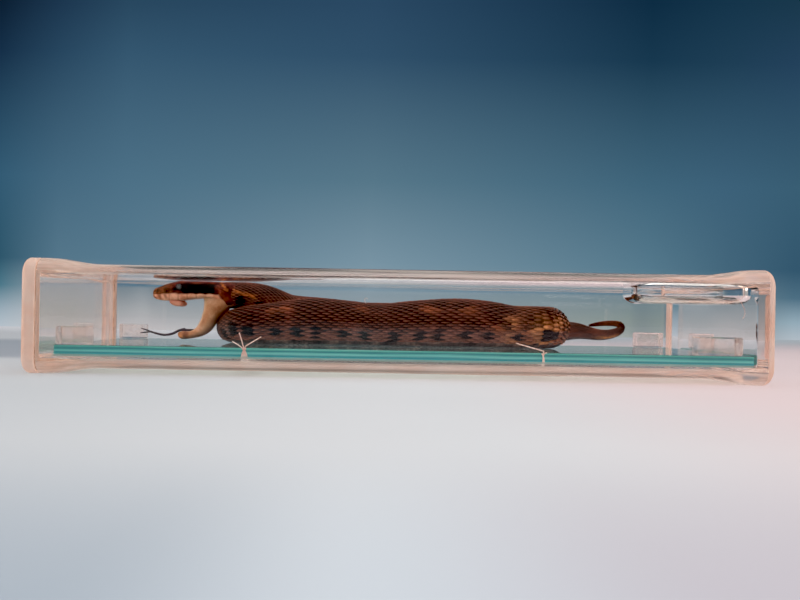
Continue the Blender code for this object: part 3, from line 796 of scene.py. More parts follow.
# %% Markings of one place on the skin
def markings(distance, angle):
    """Spot, blotch, warmth, bend and stripe for places on the skin, each from 0 to 1."""
    distance, angle = np.broadcast_arrays(np.asarray(distance, float), np.asarray(angle, float))
    size, centre = at(distance, radius), at(distance, spine)
    lean = np.cos(angle)[..., None] * at(distance, back) + np.sin(angle)[..., None] * at(distance,
        flank)
    place = centre + size[..., None] * lean
    tan = np.clip((place[..., 0] - 46) / 12, 0,
        1) * (distance < near_run(40)) * (distance > near_run(40) - 95)
    tan = tan * np.clip((np.abs(angle) - 0.75) / 0.5, 0.15, 1)
    grey = np.clip((-69.0 - place[..., 0]) / 6, 0,
        0.85) * np.clip((12.5 - place[..., 2] + SEAT) / 4, 0, 1) * (distance > 30)
    tail = np.clip((distance - (along[-1] - 62)) / 18, 0, 1)
    ring = np.clip((distance - (along[-1] - 33)) / 9, 0,
        0.8) * np.clip((along[-1] - 12 - distance) / 4, 0, 1)
    ring = ring * np.clip((-np.cos(angle) - 0.1) / 0.7, 0, 1)
    stripe = np.zeros_like(distance)
    for one, two in [((-78.2, 28.3), (-73.8, 24.0)), ((-73.8, 24.0), (-64.5, 21.6)),
            ((-79.5, 20.6), (-73.8, 23.6))]:
        a, b = np.array(one), np.array(two)
        flat = np.stack([place[..., 0], place[..., 2] - SEAT], -1) - a
        share = np.clip((flat @ (b - a)) / np.dot(b - a, b - a), 0, 1)
        off = np.linalg.norm(flat - share[..., None] * (b - a), axis=-1)
        stripe = np.maximum(stripe, np.clip((1.0 - off) / 0.6, 0, 1) * (distance < 24))
    return {
        "spot": marked(distance, angle, spots) * (1 - tail),
        "blotch": marked(distance, angle, blotches) * (1 - 0.3 * tan),
        "warm": marked(distance, angle, warm_marks), "tan": tan, "tail": tail, "grey": grey,
        "ring": ring, "stripe": stripe,
        "height": np.abs(angle) / np.pi,
    }


print("markings at the neck:", {k: float(v) for k, v in markings(10.0, 0.5).items()})


# %% Scale seats
def facing(ahead, out):
    """The turn of a scale that points ahead and whose back faces out, as Euler angles."""
    return Matrix(np.stack([ahead, np.cross(out, ahead), out], 1).tolist()).to_euler()[:]


def seat_rows(distance, angle, long, wide):
    """For each seat: its point, its turn as Euler angles and its size, all in metres."""
    points, turns, sizes = [], [], []
    for d, a, l, w in zip(distance, angle, long, wide, strict=True):
        head, up, side = at(d, heading), at(d, back), at(d, flank)
        out = np.cos(a) * up + np.sin(a) * side
        ahead = head / np.linalg.norm(head)
        out = out - ahead * np.dot(out, ahead)
        out /= np.linalg.norm(out)
        points.append(at(d, spine) + out * at(d, radius))
        turns.append(facing(ahead, out))
        sizes.append((l, w, (l + w) / 2))
    return np.array(points) / 1000, np.array(turns), np.array(sizes) / 1000


distance, angle, long, wide = [], [], [], []
for k, where in enumerate(ring_at):
    shift = 0.5 * (row_angle[1] - row_angle[0]) * (k % 2)
    for row, a in enumerate(row_angle[: ROWS - k % 2] + shift):
        distance.append(where + rng.uniform(-0.04, 0.04) * pitch[k])
        angle.append(a)
        low_row = 1 + 0.22 * (abs(a) / DORSAL) ** 4
        long.append(pitch[k] * 2.15 * low_row)
        wide.append((row_angle[1] - row_angle[0]) * at(where, radius) * 1.12 * low_row)
scale_seats = seat_rows(distance, angle, long, wide)
scale_marks = markings(np.array(distance), np.array(angle))
print("scales on the body:", len(distance))

# %% [markdown]
# Geometry Nodes set the scales: the tree takes the seats as points, puts a copy of one small scale
# on each with the turn and size that the point carries, gives each a shade of its own from a fixed
# seed, and makes the copies real. One scale is a keeled lozenge of two dozen faces, with its free
# tip lifted over the next one.


# %% One scale and the tree that sets scales
def template(name, widths, lengths, across, shape):
    """A small open plate: shape gives x, y, z for each share of its length and width."""
    points = [shape(u, v, w) for u, w in zip(lengths, widths, strict=True) for v in across]
    n = len(across)
    quads = [(k * n + i, (k + 1) * n + i, (k + 1) * n + i + 1, k * n + i + 1)
             for k in range(len(lengths) - 1) for i in range(n - 1)]
    mesh = bpy.data.meshes.new(name)
    mesh.from_pydata(points, [], quads)
    mesh.shade_smooth()
    for mark, values in (("tip", [u for u in lengths for _ in across]),
                         ("keel", [1 - abs(v) for _ in lengths for v in across])):
        mesh.attributes.new(mark, "FLOAT", "POINT").data.foreach_set("value", values)
    made = bpy.data.objects.new(name, mesh)
    scene.collection.objects.link(made)
    made.hide_render = True
    return made


def scale_shape(u, v, w):
    dome = 0.10 * (1 - v * v) * np.sin(np.pi * min(1, 0.15 + 0.8 * u))
    keel = 0.07 * max(0, 1 - abs(v) * 2.2) * np.sin(np.pi * (0.1 + 0.85 * u))
    return (u - 0.45, v * w / 2, -0.09 + 0.17 * u + dome + keel - 0.06 * abs(v))


keeled_scale = template("keeled_scale", [0.42, 0.92, 1.0, 0.3], [0, 0.35, 0.68, 1],
    [-1, -0.5, 0, 0.5, 1], scale_shape)


def geometry_tree(name, inputs):
    """An empty tree with its named inputs, and those inputs' sockets inside it."""
    tree = bpy.data.node_groups.new(name, "GeometryNodeTree")
    for socket, kind in inputs.items():
        tree.interface.new_socket(socket, in_out="INPUT", socket_type=f"NodeSocket{kind}")
    tree.interface.new_socket("Result", in_out="OUTPUT", socket_type="NodeSocketGeometry")
    return tree, add(tree, "NodeGroupInput").outputs


def setting_tree(name):
    """Copies of one piece on seats that carry their own turn and size."""
    tree, ins = geometry_tree(name,
        {"Seats": "Geometry", "Piece": "Object", "Growth": "Float", "Finish": "Material"})
    piece = add(tree, "GeometryNodeObjectInfo", {"Object": ins["Piece"]})
    turn = add(tree, "GeometryNodeInputNamedAttribute", {"Name": "turn"}, data_type="FLOAT_VECTOR")
    size = add(tree, "GeometryNodeInputNamedAttribute", {"Name": "size"}, data_type="FLOAT_VECTOR")
    grown = add(tree, "ShaderNodeVectorMath", {0: size, "Scale": ins["Growth"]}, operation="SCALE")
    euler = add(tree, "FunctionNodeEulerToRotation", {0: turn})
    copies = add(tree, "GeometryNodeInstanceOnPoints", {
        "Points": ins["Seats"], "Instance": piece.outputs["Geometry"],
        "Rotation": euler, "Scale": grown})
    chance = add(tree, "FunctionNodeRandomValue", {"Seed": 11}, data_type="FLOAT")
    shade = add(tree, "GeometryNodeStoreNamedAttribute", {
        "Geometry": copies, "Name": "shade", "Value": chance.outputs[1]},
        data_type="FLOAT", domain="INSTANCE")
    real = add(tree, "GeometryNodeRealizeInstances", {0: shade})
    painted = add(tree, "GeometryNodeSetMaterial", {"Geometry": real, "Material": ins["Finish"]})
    add(tree, "NodeGroupOutput", {0: painted})
    return tree


def run_tree(name, tree, mesh, inputs):
    """The mesh after the tree, as a plain mesh object with no modifier."""
    holder = bpy.data.objects.new(name, mesh)
    scene.collection.objects.link(holder)
    step = holder.modifiers.new("set", "NODES")
    step.node_group = tree
    for socket in tree.interface.items_tree:
        if socket.in_out == "INPUT" and socket.name in inputs:
            step[socket.identifier] = inputs[socket.name]
    bpy.context.view_layer.update()
    graph = bpy.context.evaluated_depsgraph_get()
    result = bpy.data.meshes.new_from_object(holder.evaluated_get(graph))
    holder.modifiers.clear()
    holder.data = result
    result.name = name
    return holder


def set_pieces(name, tree, seats, marks, piece, finish, growth=1.0):
    points, turns, sizes = seats
    mesh = bpy.data.meshes.new(name)
    mesh.from_pydata(points, [], [])
    for word, rows in (("turn", turns), ("size", sizes)):
        mesh.attributes.new(word, "FLOAT_VECTOR", "POINT").data.foreach_set("vector", rows.ravel())
    for word, values in marks.items():
        mesh.attributes.new(word, "FLOAT", "POINT").data.foreach_set("value", np.ravel(values))
    return run_tree(name, tree, mesh, {"Piece": piece, "Growth": growth, "Finish": finish})


SETTING = setting_tree("set_scales")
print("tree nodes:", len(SETTING.nodes), "faces of a scale:", len(keeled_scale.data.polygons))

# %% [markdown]
# Snake skin after years in alcohol: keratin scales gone maroon and brown, with near-black blotches
# and spots. Fluid wets it, so its shine is weak and broad. The colour of each scale follows the
# markings that it carries. On top of that each keel gets a painted highlight, stronger towards the
# scale's free tip, and each scale gets painted shade along its sides, where it meets its
# neighbours.


# %% Snake skin
def read(tree, name, low=0.0, high=1.0):
    """An attribute of the piece's own, turned into a share between two values."""
    source = add(tree, "ShaderNodeAttribute", attribute_name=name)
    if (low, high) == (0.0, 1.0):
        return source.outputs["Fac"]
    share = {"Value": source.outputs["Fac"], "From Min": low, "From Max": high}
    return add(tree, "ShaderNodeMapRange", share)


def paint_marks(tree, tone, cloud, rows):
    """Lays a colour, or a ramp of the cloud, over the tone where each mark is."""
    for mark, low, high, colour in rows:
        if isinstance(colour, list):
            colour = add(tree, "ShaderNodeValToRGB", {0: cloud}, colour)
        over = {0: read(tree, mark, low, high), 6: tone, 7: colour}
        tone = add(tree, "ShaderNodeMix", over, data_type="RGBA")
    return tone


def shaded(tree, tone, shares):
    """The tone darkened or lightened by each share in turn."""
    for share in shares:
        over = {0: 1.0, 6: tone, 7: share}
        tone = add(tree, "ShaderNodeMix", over, data_type="RGBA", blend_type="MULTIPLY")
    return tone


KEEL_PAINTED_HIGHLIGHT = 0.52


def snake_skin(name, scaled):
    made, tree, where = new_material(name)
    cloud = add(tree, "ShaderNodeTexNoise", {"Vector": where, "Scale": 95.0, "Detail": 3.0})
    fleck = add(tree, "ShaderNodeTexNoise", {"Vector": where, "Scale": 900.0, "Detail": 2.0})
    base = add(tree, "ShaderNodeValToRGB", {0: cloud},
        [(0.30, "#180A0B"), (0.45, "#2C1516"), (0.58, "#40201D"), (0.72, "#562E28")])
    tone = paint_marks(tree, base, cloud, [
        ("height", 0.5, 0.68, "#5E3D38"),
        ("grey", 0.0, 1.0, "#4F3F3B"),
        ("warm", 0.0, 1.0, "#6E3D2A"),
        ("tan", 0.0, 1.0, [(0.35, "#6E422E"), (0.6, "#A8724C")]),
        ("tail", 0.0, 1.0, [(0.35, "#2B1615"), (0.65, "#583129")]),
        ("ring", 0.0, 1.0, "#C98B45"),
        ("blotch", 0.1, 1.0, "#1B0D11"),
        ("stripe", 0.0, 1.0, "#96562A"),
        ("spot", 0.05, 0.5, "#060405"),
    ])
    if scaled:
        lighter = add(tree, "ShaderNodeMapRange",
            {"Value": read(tree, "shade"), "To Min": 0.62, "To Max": 1.5})
        tone = shaded(tree, tone, [lighter])
        # Painted highlight: a pinkish tan screened over the keel, stronger towards the free tip and
        # left off the black spots.
        plain = add(tree, "ShaderNodeMath", {0: 1.0, 1: read(tree, "spot", 0.0, 0.6)},
            operation="SUBTRACT", use_clamp=True)
        keel = read(tree, "keel", 0.6, 1.0)
        for share in (read(tree, "tip", 0.2, 0.7), KEEL_PAINTED_HIGHLIGHT, plain):
            keel = add(tree, "ShaderNodeMath", {0: keel, 1: share}, operation="MULTIPLY")
        lit = {0: keel, 6: tone, 7: "#B4775F"}
        tone = add(tree, "ShaderNodeMix", lit, data_type="RGBA", blend_type="SCREEN")
        # Painted shade: each scale is darker along its sides, where it meets its neighbours.
        edge = add(tree, "ShaderNodeMapRange",
            {"Value": read(tree, "keel"), "From Max": 0.35, "To Min": 0.45})
        tone = shaded(tree, tone, [edge])
    speck = add(tree, "ShaderNodeMapRange",
        {"Value": fleck, "From Min": 0.35, "From Max": 0.65, "To Min": 0.8, "To Max": 1.2})
    bump = add(tree, "ShaderNodeBump", {"Height": fleck, "Strength": 0.25, "Distance": 0.0001})
    skin = add(tree, "ShaderNodeBsdfPrincipled", {
        "Base Color": shaded(tree, tone, [speck]), "Roughness": 0.42, "Specular IOR Level": 0.14,
        "Normal": bump})
    finish_material(tree, skin)
    return made


SCALE_SKIN = snake_skin("wet keratin scales", True)
UNDER_SKIN = snake_skin("skin between the scales", False)
scales = set_pieces("body_scales", SETTING, scale_seats, scale_marks, keeled_scale, SCALE_SKIN)
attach(scales, "mount")
print("faces of the scale coat:", len(scales.data.polygons))


# %% Skin under the scales
def grid_object(name, points, marks, finish):
    """A closed skin through a grid of points, ring by ring, with an attribute for each mark."""
    n, m = points.shape[:2]
    quads = [(k * m + i, k * m + (i + 1) % m, (k + 1) * m + (i + 1) % m, (k + 1) * m + i)
             for k in range(n - 1) for i in range(m)]
    caps = [tuple(range(m))[::-1], tuple((n - 1) * m + i for i in range(m))]
    mesh = bpy.data.meshes.new(name)
    mesh.from_pydata(points.reshape(-1, 3) / 1000, [], quads + caps)
    if sum(f.center.dot(f.normal) * f.area for f in mesh.polygons) < 0:
        mesh.flip_normals()
    mesh.shade_smooth()
    for mark, values in marks.items():
        values = np.broadcast_to(values, (n, m)).ravel().astype(float)
        mesh.attributes.new(mark, "FLOAT", "POINT").data.foreach_set("value", values)
    mesh.materials.append(finish)
    made = bpy.data.objects.new(name, mesh)
    scene.collection.objects.link(made)
    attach(made, "mount")
    return made


UNDER_SCALES, AROUND, RING_STEP = 0.965, 40, 2.0
distance, angle = np.meshgrid(
    np.arange(0, along[-1], RING_STEP), np.linspace(0, 2 * np.pi, AROUND, endpoint=False) - np.pi,
    indexing="ij")
out = np.cos(angle)[..., None] * at(distance, back) + np.sin(angle)[..., None] * at(distance, flank)
points = at(distance, spine) + out * at(distance, radius)[..., None] * UNDER_SCALES
skin = grid_object("body_skin", points, markings(distance, angle), UNDER_SKIN)
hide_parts("snake_body")
print("skin faces:", len(skin.data.polygons))

# %% [markdown]
# The belly plates, or scutes, are as wide as the belly and overlap backwards like roof tiles. The
# same tree sets them. One scute is an arc of a circle of radius one, so its size is its ring's.


# %% Belly scutes
def scute_shape(u, v, w):
    turn = v * np.radians(46)
    lift = 1.0 + 0.012 * u - 0.03 * (1 - u)
    return (1.35 * (u - 0.4), np.sin(turn) * lift, np.cos(turn) * lift)


belly_scute = template("belly_scute", [1, 1, 1], [0, 0.6, 1], np.linspace(-1, 1, 11), scute_shape)
ashen, tree, where = new_material("pale belly scutes gone grey")
cloud = add(tree, "ShaderNodeTexNoise", {"Vector": where, "Scale": 160.0, "Detail": 4.0})
tone = add(tree, "ShaderNodeValToRGB", {0: cloud},
    [(0.32, "#2E2526"), (0.5, "#5E4E4C"), (0.66, "#9B8078")])
edge = add(tree, "ShaderNodeMapRange",
    {"Value": read(tree, "tip"), "From Min": 0.75, "To Min": 1.0, "To Max": 0.6})
dull = add(tree, "ShaderNodeBsdfPrincipled",
    {"Base Color": shaded(tree, tone, [edge]), "Roughness": 0.4, "Specular IOR Level": 0.15})
finish_material(tree, dull)
points, turns, _ = seat_rows(ring_at, np.full(len(ring_at), np.pi), pitch, pitch)
points = at(ring_at, spine) / 1000
sizes = np.stack([pitch, at(ring_at, radius), at(ring_at, radius)], -1) / 1000
scutes = set_pieces("belly_scutes", SETTING, (points, turns, sizes), {}, belly_scute, ashen)
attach(scutes, "mount")
print("scutes:", len(ring_at))

# %% [markdown]
# ## The head
# A viper's head is broad behind the eyes, flat on top and blunt in front. One function gives any
# point of its skin from a place along it and a turn round it, with the brow, the nostril, the heat
# pit, the lip and the seams between lip plates pushed out or in. The skin, its markings and the
# small scales on top all read that same function, so they always fit each other.

# %% Shape of the head
HEAD_Y = 6.0
head_rows = smooth([
    (-111.9, 1.6, 21.6, 23.4), (-111.5, 3.0, 20.4, 24.2), (-110.6, 4.3, 19.4, 24.8),
    (-109.3, 5.3, 18.8, 25.3),
    (-107.5, 6.1, 18.3, 26.0), (-105.5, 6.8, 18.1, 26.8), (-102.3, 7.6, 18.0, 27.7),
    (-99, 8.5, 18.1, 28.2),
    (-96.5, 9.1, 18.4, 28.3), (-94, 9.8, 18.9, 28.3), (-91, 10.5, 19.3, 28.3),
    (-88.5, 10.9, 19.6, 28.3),
    (-86, 11.1, 19.6, 28.25), (-83.5, 11.0, 19.0, 28.15), (-81.5, 10.4, 18.2, 28.1),
    (-79.5, 9.3, 17.4, 28.05),
    (-77.6, 7.9, 16.8, 28.0), (-75.5, 6.4, 16.5, 28.0), (-73.5, 5.7, 17.0, 27.8)], 0.45)
SEAM = 4.3


def lip_edge(x):
    """Height of the upper edge of the lip plates, scalloped plate by plate."""
    share = ((x + 112) / SEAM) % 1.0
    return 22.1 + 0.3 * np.sin(np.pi * share) - 0.5 * np.clip((-104 - x) / 7, 0, 1)


def head_point(x, turn):
    """A point of the head's skin in millimetres: turn 0 faces far, a quarter turn faces up."""
    wide, low_edge, top = (np.interp(x, head_rows[:, 0], head_rows[:, i]) for i in (1, 2, 3))
    c, s = np.cos(turn), np.sin(turn)
    middle = low_edge + 0.42 * (top - low_edge)
    y = wide * np.sign(c) * np.abs(c) ** 0.8
    h = middle + np.where(s > 0, (top - middle) * np.abs(s) ** 0.72,
        (low_edge - middle) * np.abs(s) ** 0.6)
    push = np.zeros_like(h)
    for at_x, at_h, reach, depth in [(-99.3, 27.2, 2.0, 0.5), (-98.8, 25.1, 1.9, -0.7),
            (-110.2, 23.4, 0.7, -0.6),
                                     (-104.9, 23.3, 0.9, -0.7), (-90, 20.6, 6.0, 0.35),
                                     (-106, 19.6, 3.5, 0.3)]:
        off = np.hypot(x - at_x, h - at_h) / reach
        push += depth * np.exp(-off * off * 1.4) * (np.abs(c) > 0.2)
    share = ((x + 112) / SEAM) % 1.0
    on_lip = (h < lip_edge(x)) & (h > low_edge + 0.2) & (x < -84)
    push -= 0.13 * on_lip * np.exp(-((np.minimum(share, 1 - share) * SEAM / 0.28) ** 2))
    push -= 0.3 * (x < -80) * np.exp(-(((h - lip_edge(x)) / 0.3) ** 2)) * (np.abs(c) > 0.25)
    y = y + push * np.sign(c) * np.abs(c) ** 0.5
    h = h + push * s * 0.5 + 1.1 * (s < -0.5) * (1 - c * c) * (x < -80)
    return np.stack([x + 0 * h, HEAD_Y + y, SEAT + h], -1)


def head_markings(points):
    """Band, lip, seam, snout, dark and roof for points of the head's skin."""
    x, y, h = points[..., 0], points[..., 1] - HEAD_Y, points[..., 2] - SEAT
    soft = lambda value, width: np.clip(0.5 + value / width, 0, 1)
    share = ((x + 112) / SEAM) % 1.0
    wide, low_edge = (np.interp(x, head_rows[:, 0], head_rows[:, i]) for i in (1, 2))
    side = soft(np.abs(y) - 0.35 * wide, 0.8)
    band = soft(h - lip_edge(x) - 0.25, 0.35) * soft(27.1 - 0.9 * np.clip((-97 - x) / 3, 0, 1) - h,
        0.6)
    band *= soft(x + 98.0, 1.2) * soft(-82.2 - x, 1.4) * side
    lip = soft(lip_edge(x) - h, 0.4) * soft(-80.6 + 0.8 * np.clip(22 - h, 0, 3) - x, 1.2)
    seam = np.exp(-((np.minimum(share, 1 - share) * SEAM / 0.3) ** 2)) * lip * soft(-87 - x, 1)
    # Painted shade: the nostril and the heat pit are darkened as shade in their hollows; the other
    # two marks are darker patches before and behind the eye.
    dark = sum(np.exp(-((np.hypot(x - a, h - b) / r) ** 2)) for a, b, r in
               [(-110.2, 23.4, 0.6), (-104.9, 23.3, 0.85), (-96.3, 25.3, 1.6), (-101.3, 24.4, 1.0)])
    return {
        "band": band, "lip": lip, "seam": 0.6 * seam, "snout": soft(-103.5 - x, 5),
        "dark": np.clip(dark, 0, 1) * side,
        "roof": soft(low_edge + 1.1 - h, 0.5) * soft(0.8 * wide - np.abs(y), 0.6),
        "stripe": soft(0.6 - np.abs(x + 78.0 + 0.75 * (h - 25)), 0.7) * soft(h - 24.0, 1),
        "dapple": 0.75 * lip * soft(-103.5 - x,
            4) * (0.5 + 0.5 * np.sin(2.1 * x + 1.3 * h)) * soft(h - 19.8, 1.5),
    }


print("head from", head_rows[0, 0], "to", head_rows[-1, 0])

# %% [markdown]
# The head's skin has its own colours: a jet black band behind the eye, a peach lip with brown
# seams, a mottled brown snout and a maroon crown. The nostril and the heat pit are darkened with
# painted shade. They are stored at the points of a fine mesh.


# %% Head skin
def head_skin(name, scaled):
    made, tree, where = new_material(name)
    cloud = add(tree, "ShaderNodeTexNoise", {"Vector": where, "Scale": 260.0, "Detail": 3.0})
    pores = add(tree, "ShaderNodeTexNoise", {"Vector": where, "Scale": 1500.0, "Detail": 2.0})
    crown = add(tree, "ShaderNodeValToRGB", {0: cloud},
        [(0.35, "#30151A"), (0.5, "#552623"), (0.68, "#7A3F2C")])
    tone = paint_marks(tree, crown, cloud, [
        ("snout", 0.0, 1.0, [(0.35, "#3A2A1F"), (0.5, "#6B4028"), (0.66, "#96603C")]),
        ("stripe", 0.0, 1.0, "#9A5A2E"),
        ("lip", 0.0, 1.0, [(0.35, "#C78A6E"), (0.65, "#E0AE96")]),
        ("band", 0.0, 1.0, "#070606"),
        ("dark", 0.0, 1.0, "#0A0807"),
        ("seam", 0.0, 1.0, "#9A6248"),
        ("dapple", 0.0, 1.0, "#6B4230"),
        ("roof", 0.0, 1.0, "#C79A86"),
    ])
    if scaled:
        lighter = add(tree, "ShaderNodeMapRange",
            {"Value": read(tree, "shade"), "To Min": 0.6, "To Max": 1.6})
        # Painted shade: each small scale is darker along its sides, where it meets its neighbours.
        edge = add(tree, "ShaderNodeMapRange",
            {"Value": read(tree, "keel"), "From Max": 0.4, "To Min": 0.5})
        tone = shaded(tree, tone, [lighter, edge])
    bump = add(tree, "ShaderNodeBump", {"Height": pores, "Strength": 0.2, "Distance": 0.0001})
    skin = add(tree, "ShaderNodeBsdfPrincipled", {
        "Base Color": tone, "Roughness": 0.4, "Specular IOR Level": 0.12, "Normal": bump})
    finish_material(tree, skin)
    return made


HEAD_SKIN = head_skin("head skin in alcohol", False)
grid_x, grid_turn = np.meshgrid(
    np.linspace(-111.9, -73.5, 112), np.linspace(0, 2 * np.pi, 120, endpoint=False), indexing="ij")
head_grid = head_point(grid_x, grid_turn)
head = grid_object("head_skin", head_grid, head_markings(head_grid), HEAD_SKIN)
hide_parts("snake_head")
print("head faces:", len(head.data.polygons))

# %% Small scales on the head
seats = {"points": [], "turns": [], "sizes": []}
for k, x in enumerate(np.arange(-110.6, -76.5, 0.95)):
    for turn in np.arange(np.radians(4), np.radians(176), 0.118) + 0.059 * (k % 2):
        here = head_point(np.array(x), np.array(turn))
        if here[2] - SEAT < lip_edge(x) + 0.75 or np.hypot(x + 98.8, here[2] - SEAT - 25.2) < 2.0:
            continue
        ahead = head_point(np.array(x + 0.2), np.array(turn)) - here
        ahead /= np.linalg.norm(ahead)
        side = head_point(np.array(x), np.array(turn + 0.02)) - here
        out = np.cross(ahead, side)
        out /= np.linalg.norm(out)
        out = out if out[2] * np.sin(turn) + out[1] * np.cos(turn) > 0 else -out
        seats["points"].append(here)
        seats["turns"].append(facing(ahead, out))
        grow = 0.8 + 0.35 * np.clip((x + 105) / 20, 0, 1)
        seats["sizes"].append((2.0 * grow, 1.35 * grow, 0.9 * grow))
head_seats = (np.array(seats["points"]) / 1000, np.array(seats["turns"]),
    np.array(seats["sizes"]) / 1000)
marks = head_markings(np.array(seats["points"]))
HEAD_SCALES = head_skin("head scales in alcohol", True)
crown_scales = set_pieces("head_scales", SETTING, head_seats, marks, keeled_scale, HEAD_SCALES)
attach(crown_scales, "mount")
for used in (keeled_scale, belly_scute):
    bpy.data.objects.remove(used)
print("head scales:", len(seats["points"]))

# %% [markdown]
# The lower jaw hangs open. The skin of the mouth's corner is stretched into a broad tan sheet, and
# the two jaw bones run forward from it to the chin. Seen from in front it's a trough, so its front
# is hollow. The gum over each folded fang bulges under the lip, and the eye has gone cloudy.

# %% Lower jaw
jaw_rows = smooth([
    (-81.9, 21.0, 6.7, 9.9), (-82.1, 18.6, 6.6, 9.6), (-83.4, 15.2, 5.2, 8.9),
    (-84.9, 12.2, 4.1, 8.2),
    (-86.0, 9.8, 3.6, 7.4), (-87.7, 7.2, 3.3, 6.5), (-90.2, 5.0, 2.5, 5.7), (-93.3, 3.7, 1.9, 5.0),
    (-96.2, 3.4, 2.0, 4.2), (-98.2, 3.35, 2.0, 3.2), (-99.4, 3.3, 1.6, 2.2),
    (-100.1, 3.2, 0.8, 1.0)], 0.6)
way = np.gradient(jaw_rows[:, :2], axis=0)
way /= np.linalg.norm(way, axis=1, keepdims=True)
turns = np.linspace(0, 2 * np.pi, 48, endpoint=False)
c, s = np.cos(turns)[None, :], np.sin(turns)[None, :]
front = np.where(c > 0, 1.9 * c * (0.22 + 0.78 * s * s), c)
deep, wide = jaw_rows[:, 2:3], jaw_rows[:, 3:4]
ahead = np.stack([way[:, 1], -way[:, 0]], -1)
jaw_grid = np.stack([
    jaw_rows[:, 0:1] + ahead[:, 0:1] * front * deep, HEAD_Y + wide * s * np.ones_like(front),
    SEAT + jaw_rows[:, 1:2] + ahead[:, 1:2] * front * deep], -1)
share = np.linspace(0, 1, len(jaw_rows))[:, None] * np.ones_like(front)
jaw_marks = {
    "inside": np.clip((c - 0.45) / 0.3, 0, 1) * np.clip((1.1 - np.abs(s)) / 0.3, 0,
        1) * np.ones_like(share),
    "rim": np.exp(-(((front - 0.78) / 0.16) ** 2)) * (np.abs(s) > 0.3),
    "under": np.clip((-c - 0.35) / 0.5, 0, 1) * np.ones_like(share),
    "chin": np.clip((share - 0.6) / 0.3, 0, 1)}
stretched, tree, where = new_material("stretched skin of the jaw")
folds = add(tree, "ShaderNodeTexNoise", {"Vector": where, "Scale": 190.0, "Detail": 4.0})
pores = add(tree, "ShaderNodeTexNoise", {"Vector": where, "Scale": 1100.0, "Detail": 2.0})
tone = add(tree, "ShaderNodeValToRGB", {0: folds},
    [(0.32, "#AE7858"), (0.5, "#C89878"), (0.68, "#DAB095")])
tone = paint_marks(tree, tone, folds, [
    ("rim", 0.0, 1.0, "#DFC3A4"),
    ("chin", 0.0, 1.0, [(0.4, "#6E4028"), (0.6, "#C08A5E")]),
    ("under", 0.0, 1.3, "#7A4C32"),
    ("inside", 0.0, 1.0, "#CFA08C"),
])
bump = add(tree, "ShaderNodeBump", {"Height": folds, "Strength": 0.3, "Distance": 0.0006})
bump = add(tree, "ShaderNodeBump",
    {"Height": pores, "Strength": 0.2, "Distance": 0.0001, "Normal": bump})
skin_shader = add(tree, "ShaderNodeBsdfPrincipled", {
    "Base Color": tone, "Roughness": 0.45, "Specular IOR Level": 0.15, "Normal": bump,
    "Subsurface Weight": 0.15,
    "Subsurface Radius": (0.002, 0.001, 0.0006), "Subsurface Scale": 1.0})
finish_material(tree, skin_shader)
jaw = grid_object("jaw_skin", jaw_grid, jaw_marks, stretched)
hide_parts("snake_lower_jaw")
print("jaw faces:", len(jaw.data.polygons))


# %% Eyes, fang sheaths and tongue
def ball(name, centre, radii, lean, finish, replaced):
    """A smooth ball, squashed to its radii and leaning in the side view, with closed poles."""
    rise, round_ = np.meshgrid(np.linspace(-1, 1, 25) * 0.4999 * np.pi,
        np.linspace(0, 2 * np.pi, 32, endpoint=False), indexing="ij")
    grid = np.stack([np.cos(rise) * np.cos(round_) * radii[0],
        np.cos(rise) * np.sin(round_) * radii[1], np.sin(rise) * radii[2]], -1)
    grid = np.stack([grid[..., 0] * np.cos(lean) - grid[..., 2] * np.sin(lean), grid[..., 1],
                     grid[..., 0] * np.sin(lean) + grid[..., 2] * np.cos(lean)], -1) + centre
    made = grid_object(name, grid, {}, finish)
    if replaced:
        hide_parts(replaced)
    return made


cloudy, tree, where = new_material("clouded snake eye")
centred = add(tree, "ShaderNodeMapping",
    {"Vector": where, "Location": (0.0988, 0, -(SEAT + 25.3) / 1000)})
flat = add(tree, "ShaderNodeVectorMath", {0: centred, 1: (1000, 0, 1000)}, operation="MULTIPLY")
reach = add(tree, "ShaderNodeVectorMath", {0: flat}, operation="LENGTH")
veil = add(tree, "ShaderNodeTexNoise", {"Vector": where, "Scale": 700.0, "Detail": 2.0})
mixed = add(tree, "ShaderNodeMath", {0: reach.outputs["Value"], 1: veil}, operation="ADD")
scaled = add(tree, "ShaderNodeMapRange", {"Value": mixed, "From Min": 0.4, "From Max": 2.3})
tone = add(tree, "ShaderNodeValToRGB", {0: scaled},
    [(0.0, "#60686B"), (0.35, "#474B4E"), (0.7, "#2C2A2C"), (1.0, "#151213")])
orb = add(tree, "ShaderNodeBsdfPrincipled",
    {"Base Color": tone, "Roughness": 0.15, "Specular IOR Level": 0.5})
finish_material(tree, orb)
gum = mottled("pale pink gum", 420.0, 3.0, [(0.35, "#BC7A68"), (0.6, "#D9A08C")], {
    "Roughness": 0.35, "Specular IOR Level": 0.35, "Subsurface Weight": 0.2,
    "Subsurface Radius": (0.002, 0.0008, 0.0006), "Subsurface Scale": 1.0})
for side, word in ((-1, "near"), (1, "far")):
    ball(f"eye_{word}", (-98.8, HEAD_Y + side * 6.95, SEAT + 25.2), (1.9, 1.75, 1.9), 0.0, cloudy,
        f"snake_eye_{word}")
    ball(f"fang_sheath_{word}", (-100.3, HEAD_Y + side * 5.9, SEAT + 18.3), (3.2, 1.3, 1.65), -0.22,
        gum,
         f"snake_fang_sheath_{word}")
dark = mottled("dark forked tongue", 500.0, 2.0, [(0.35, "#191018"), (0.65, "#3E2A38")],
    {"Roughness": 0.4})
dress(frame["nodes"]["snake_tongue"], dark)
ball("tongue_root", (-93.5, HEAD_Y, SEAT + 5.2), (6.5, 0.9, 0.85), -0.06, dark, "")
print("eyes and sheaths in place")

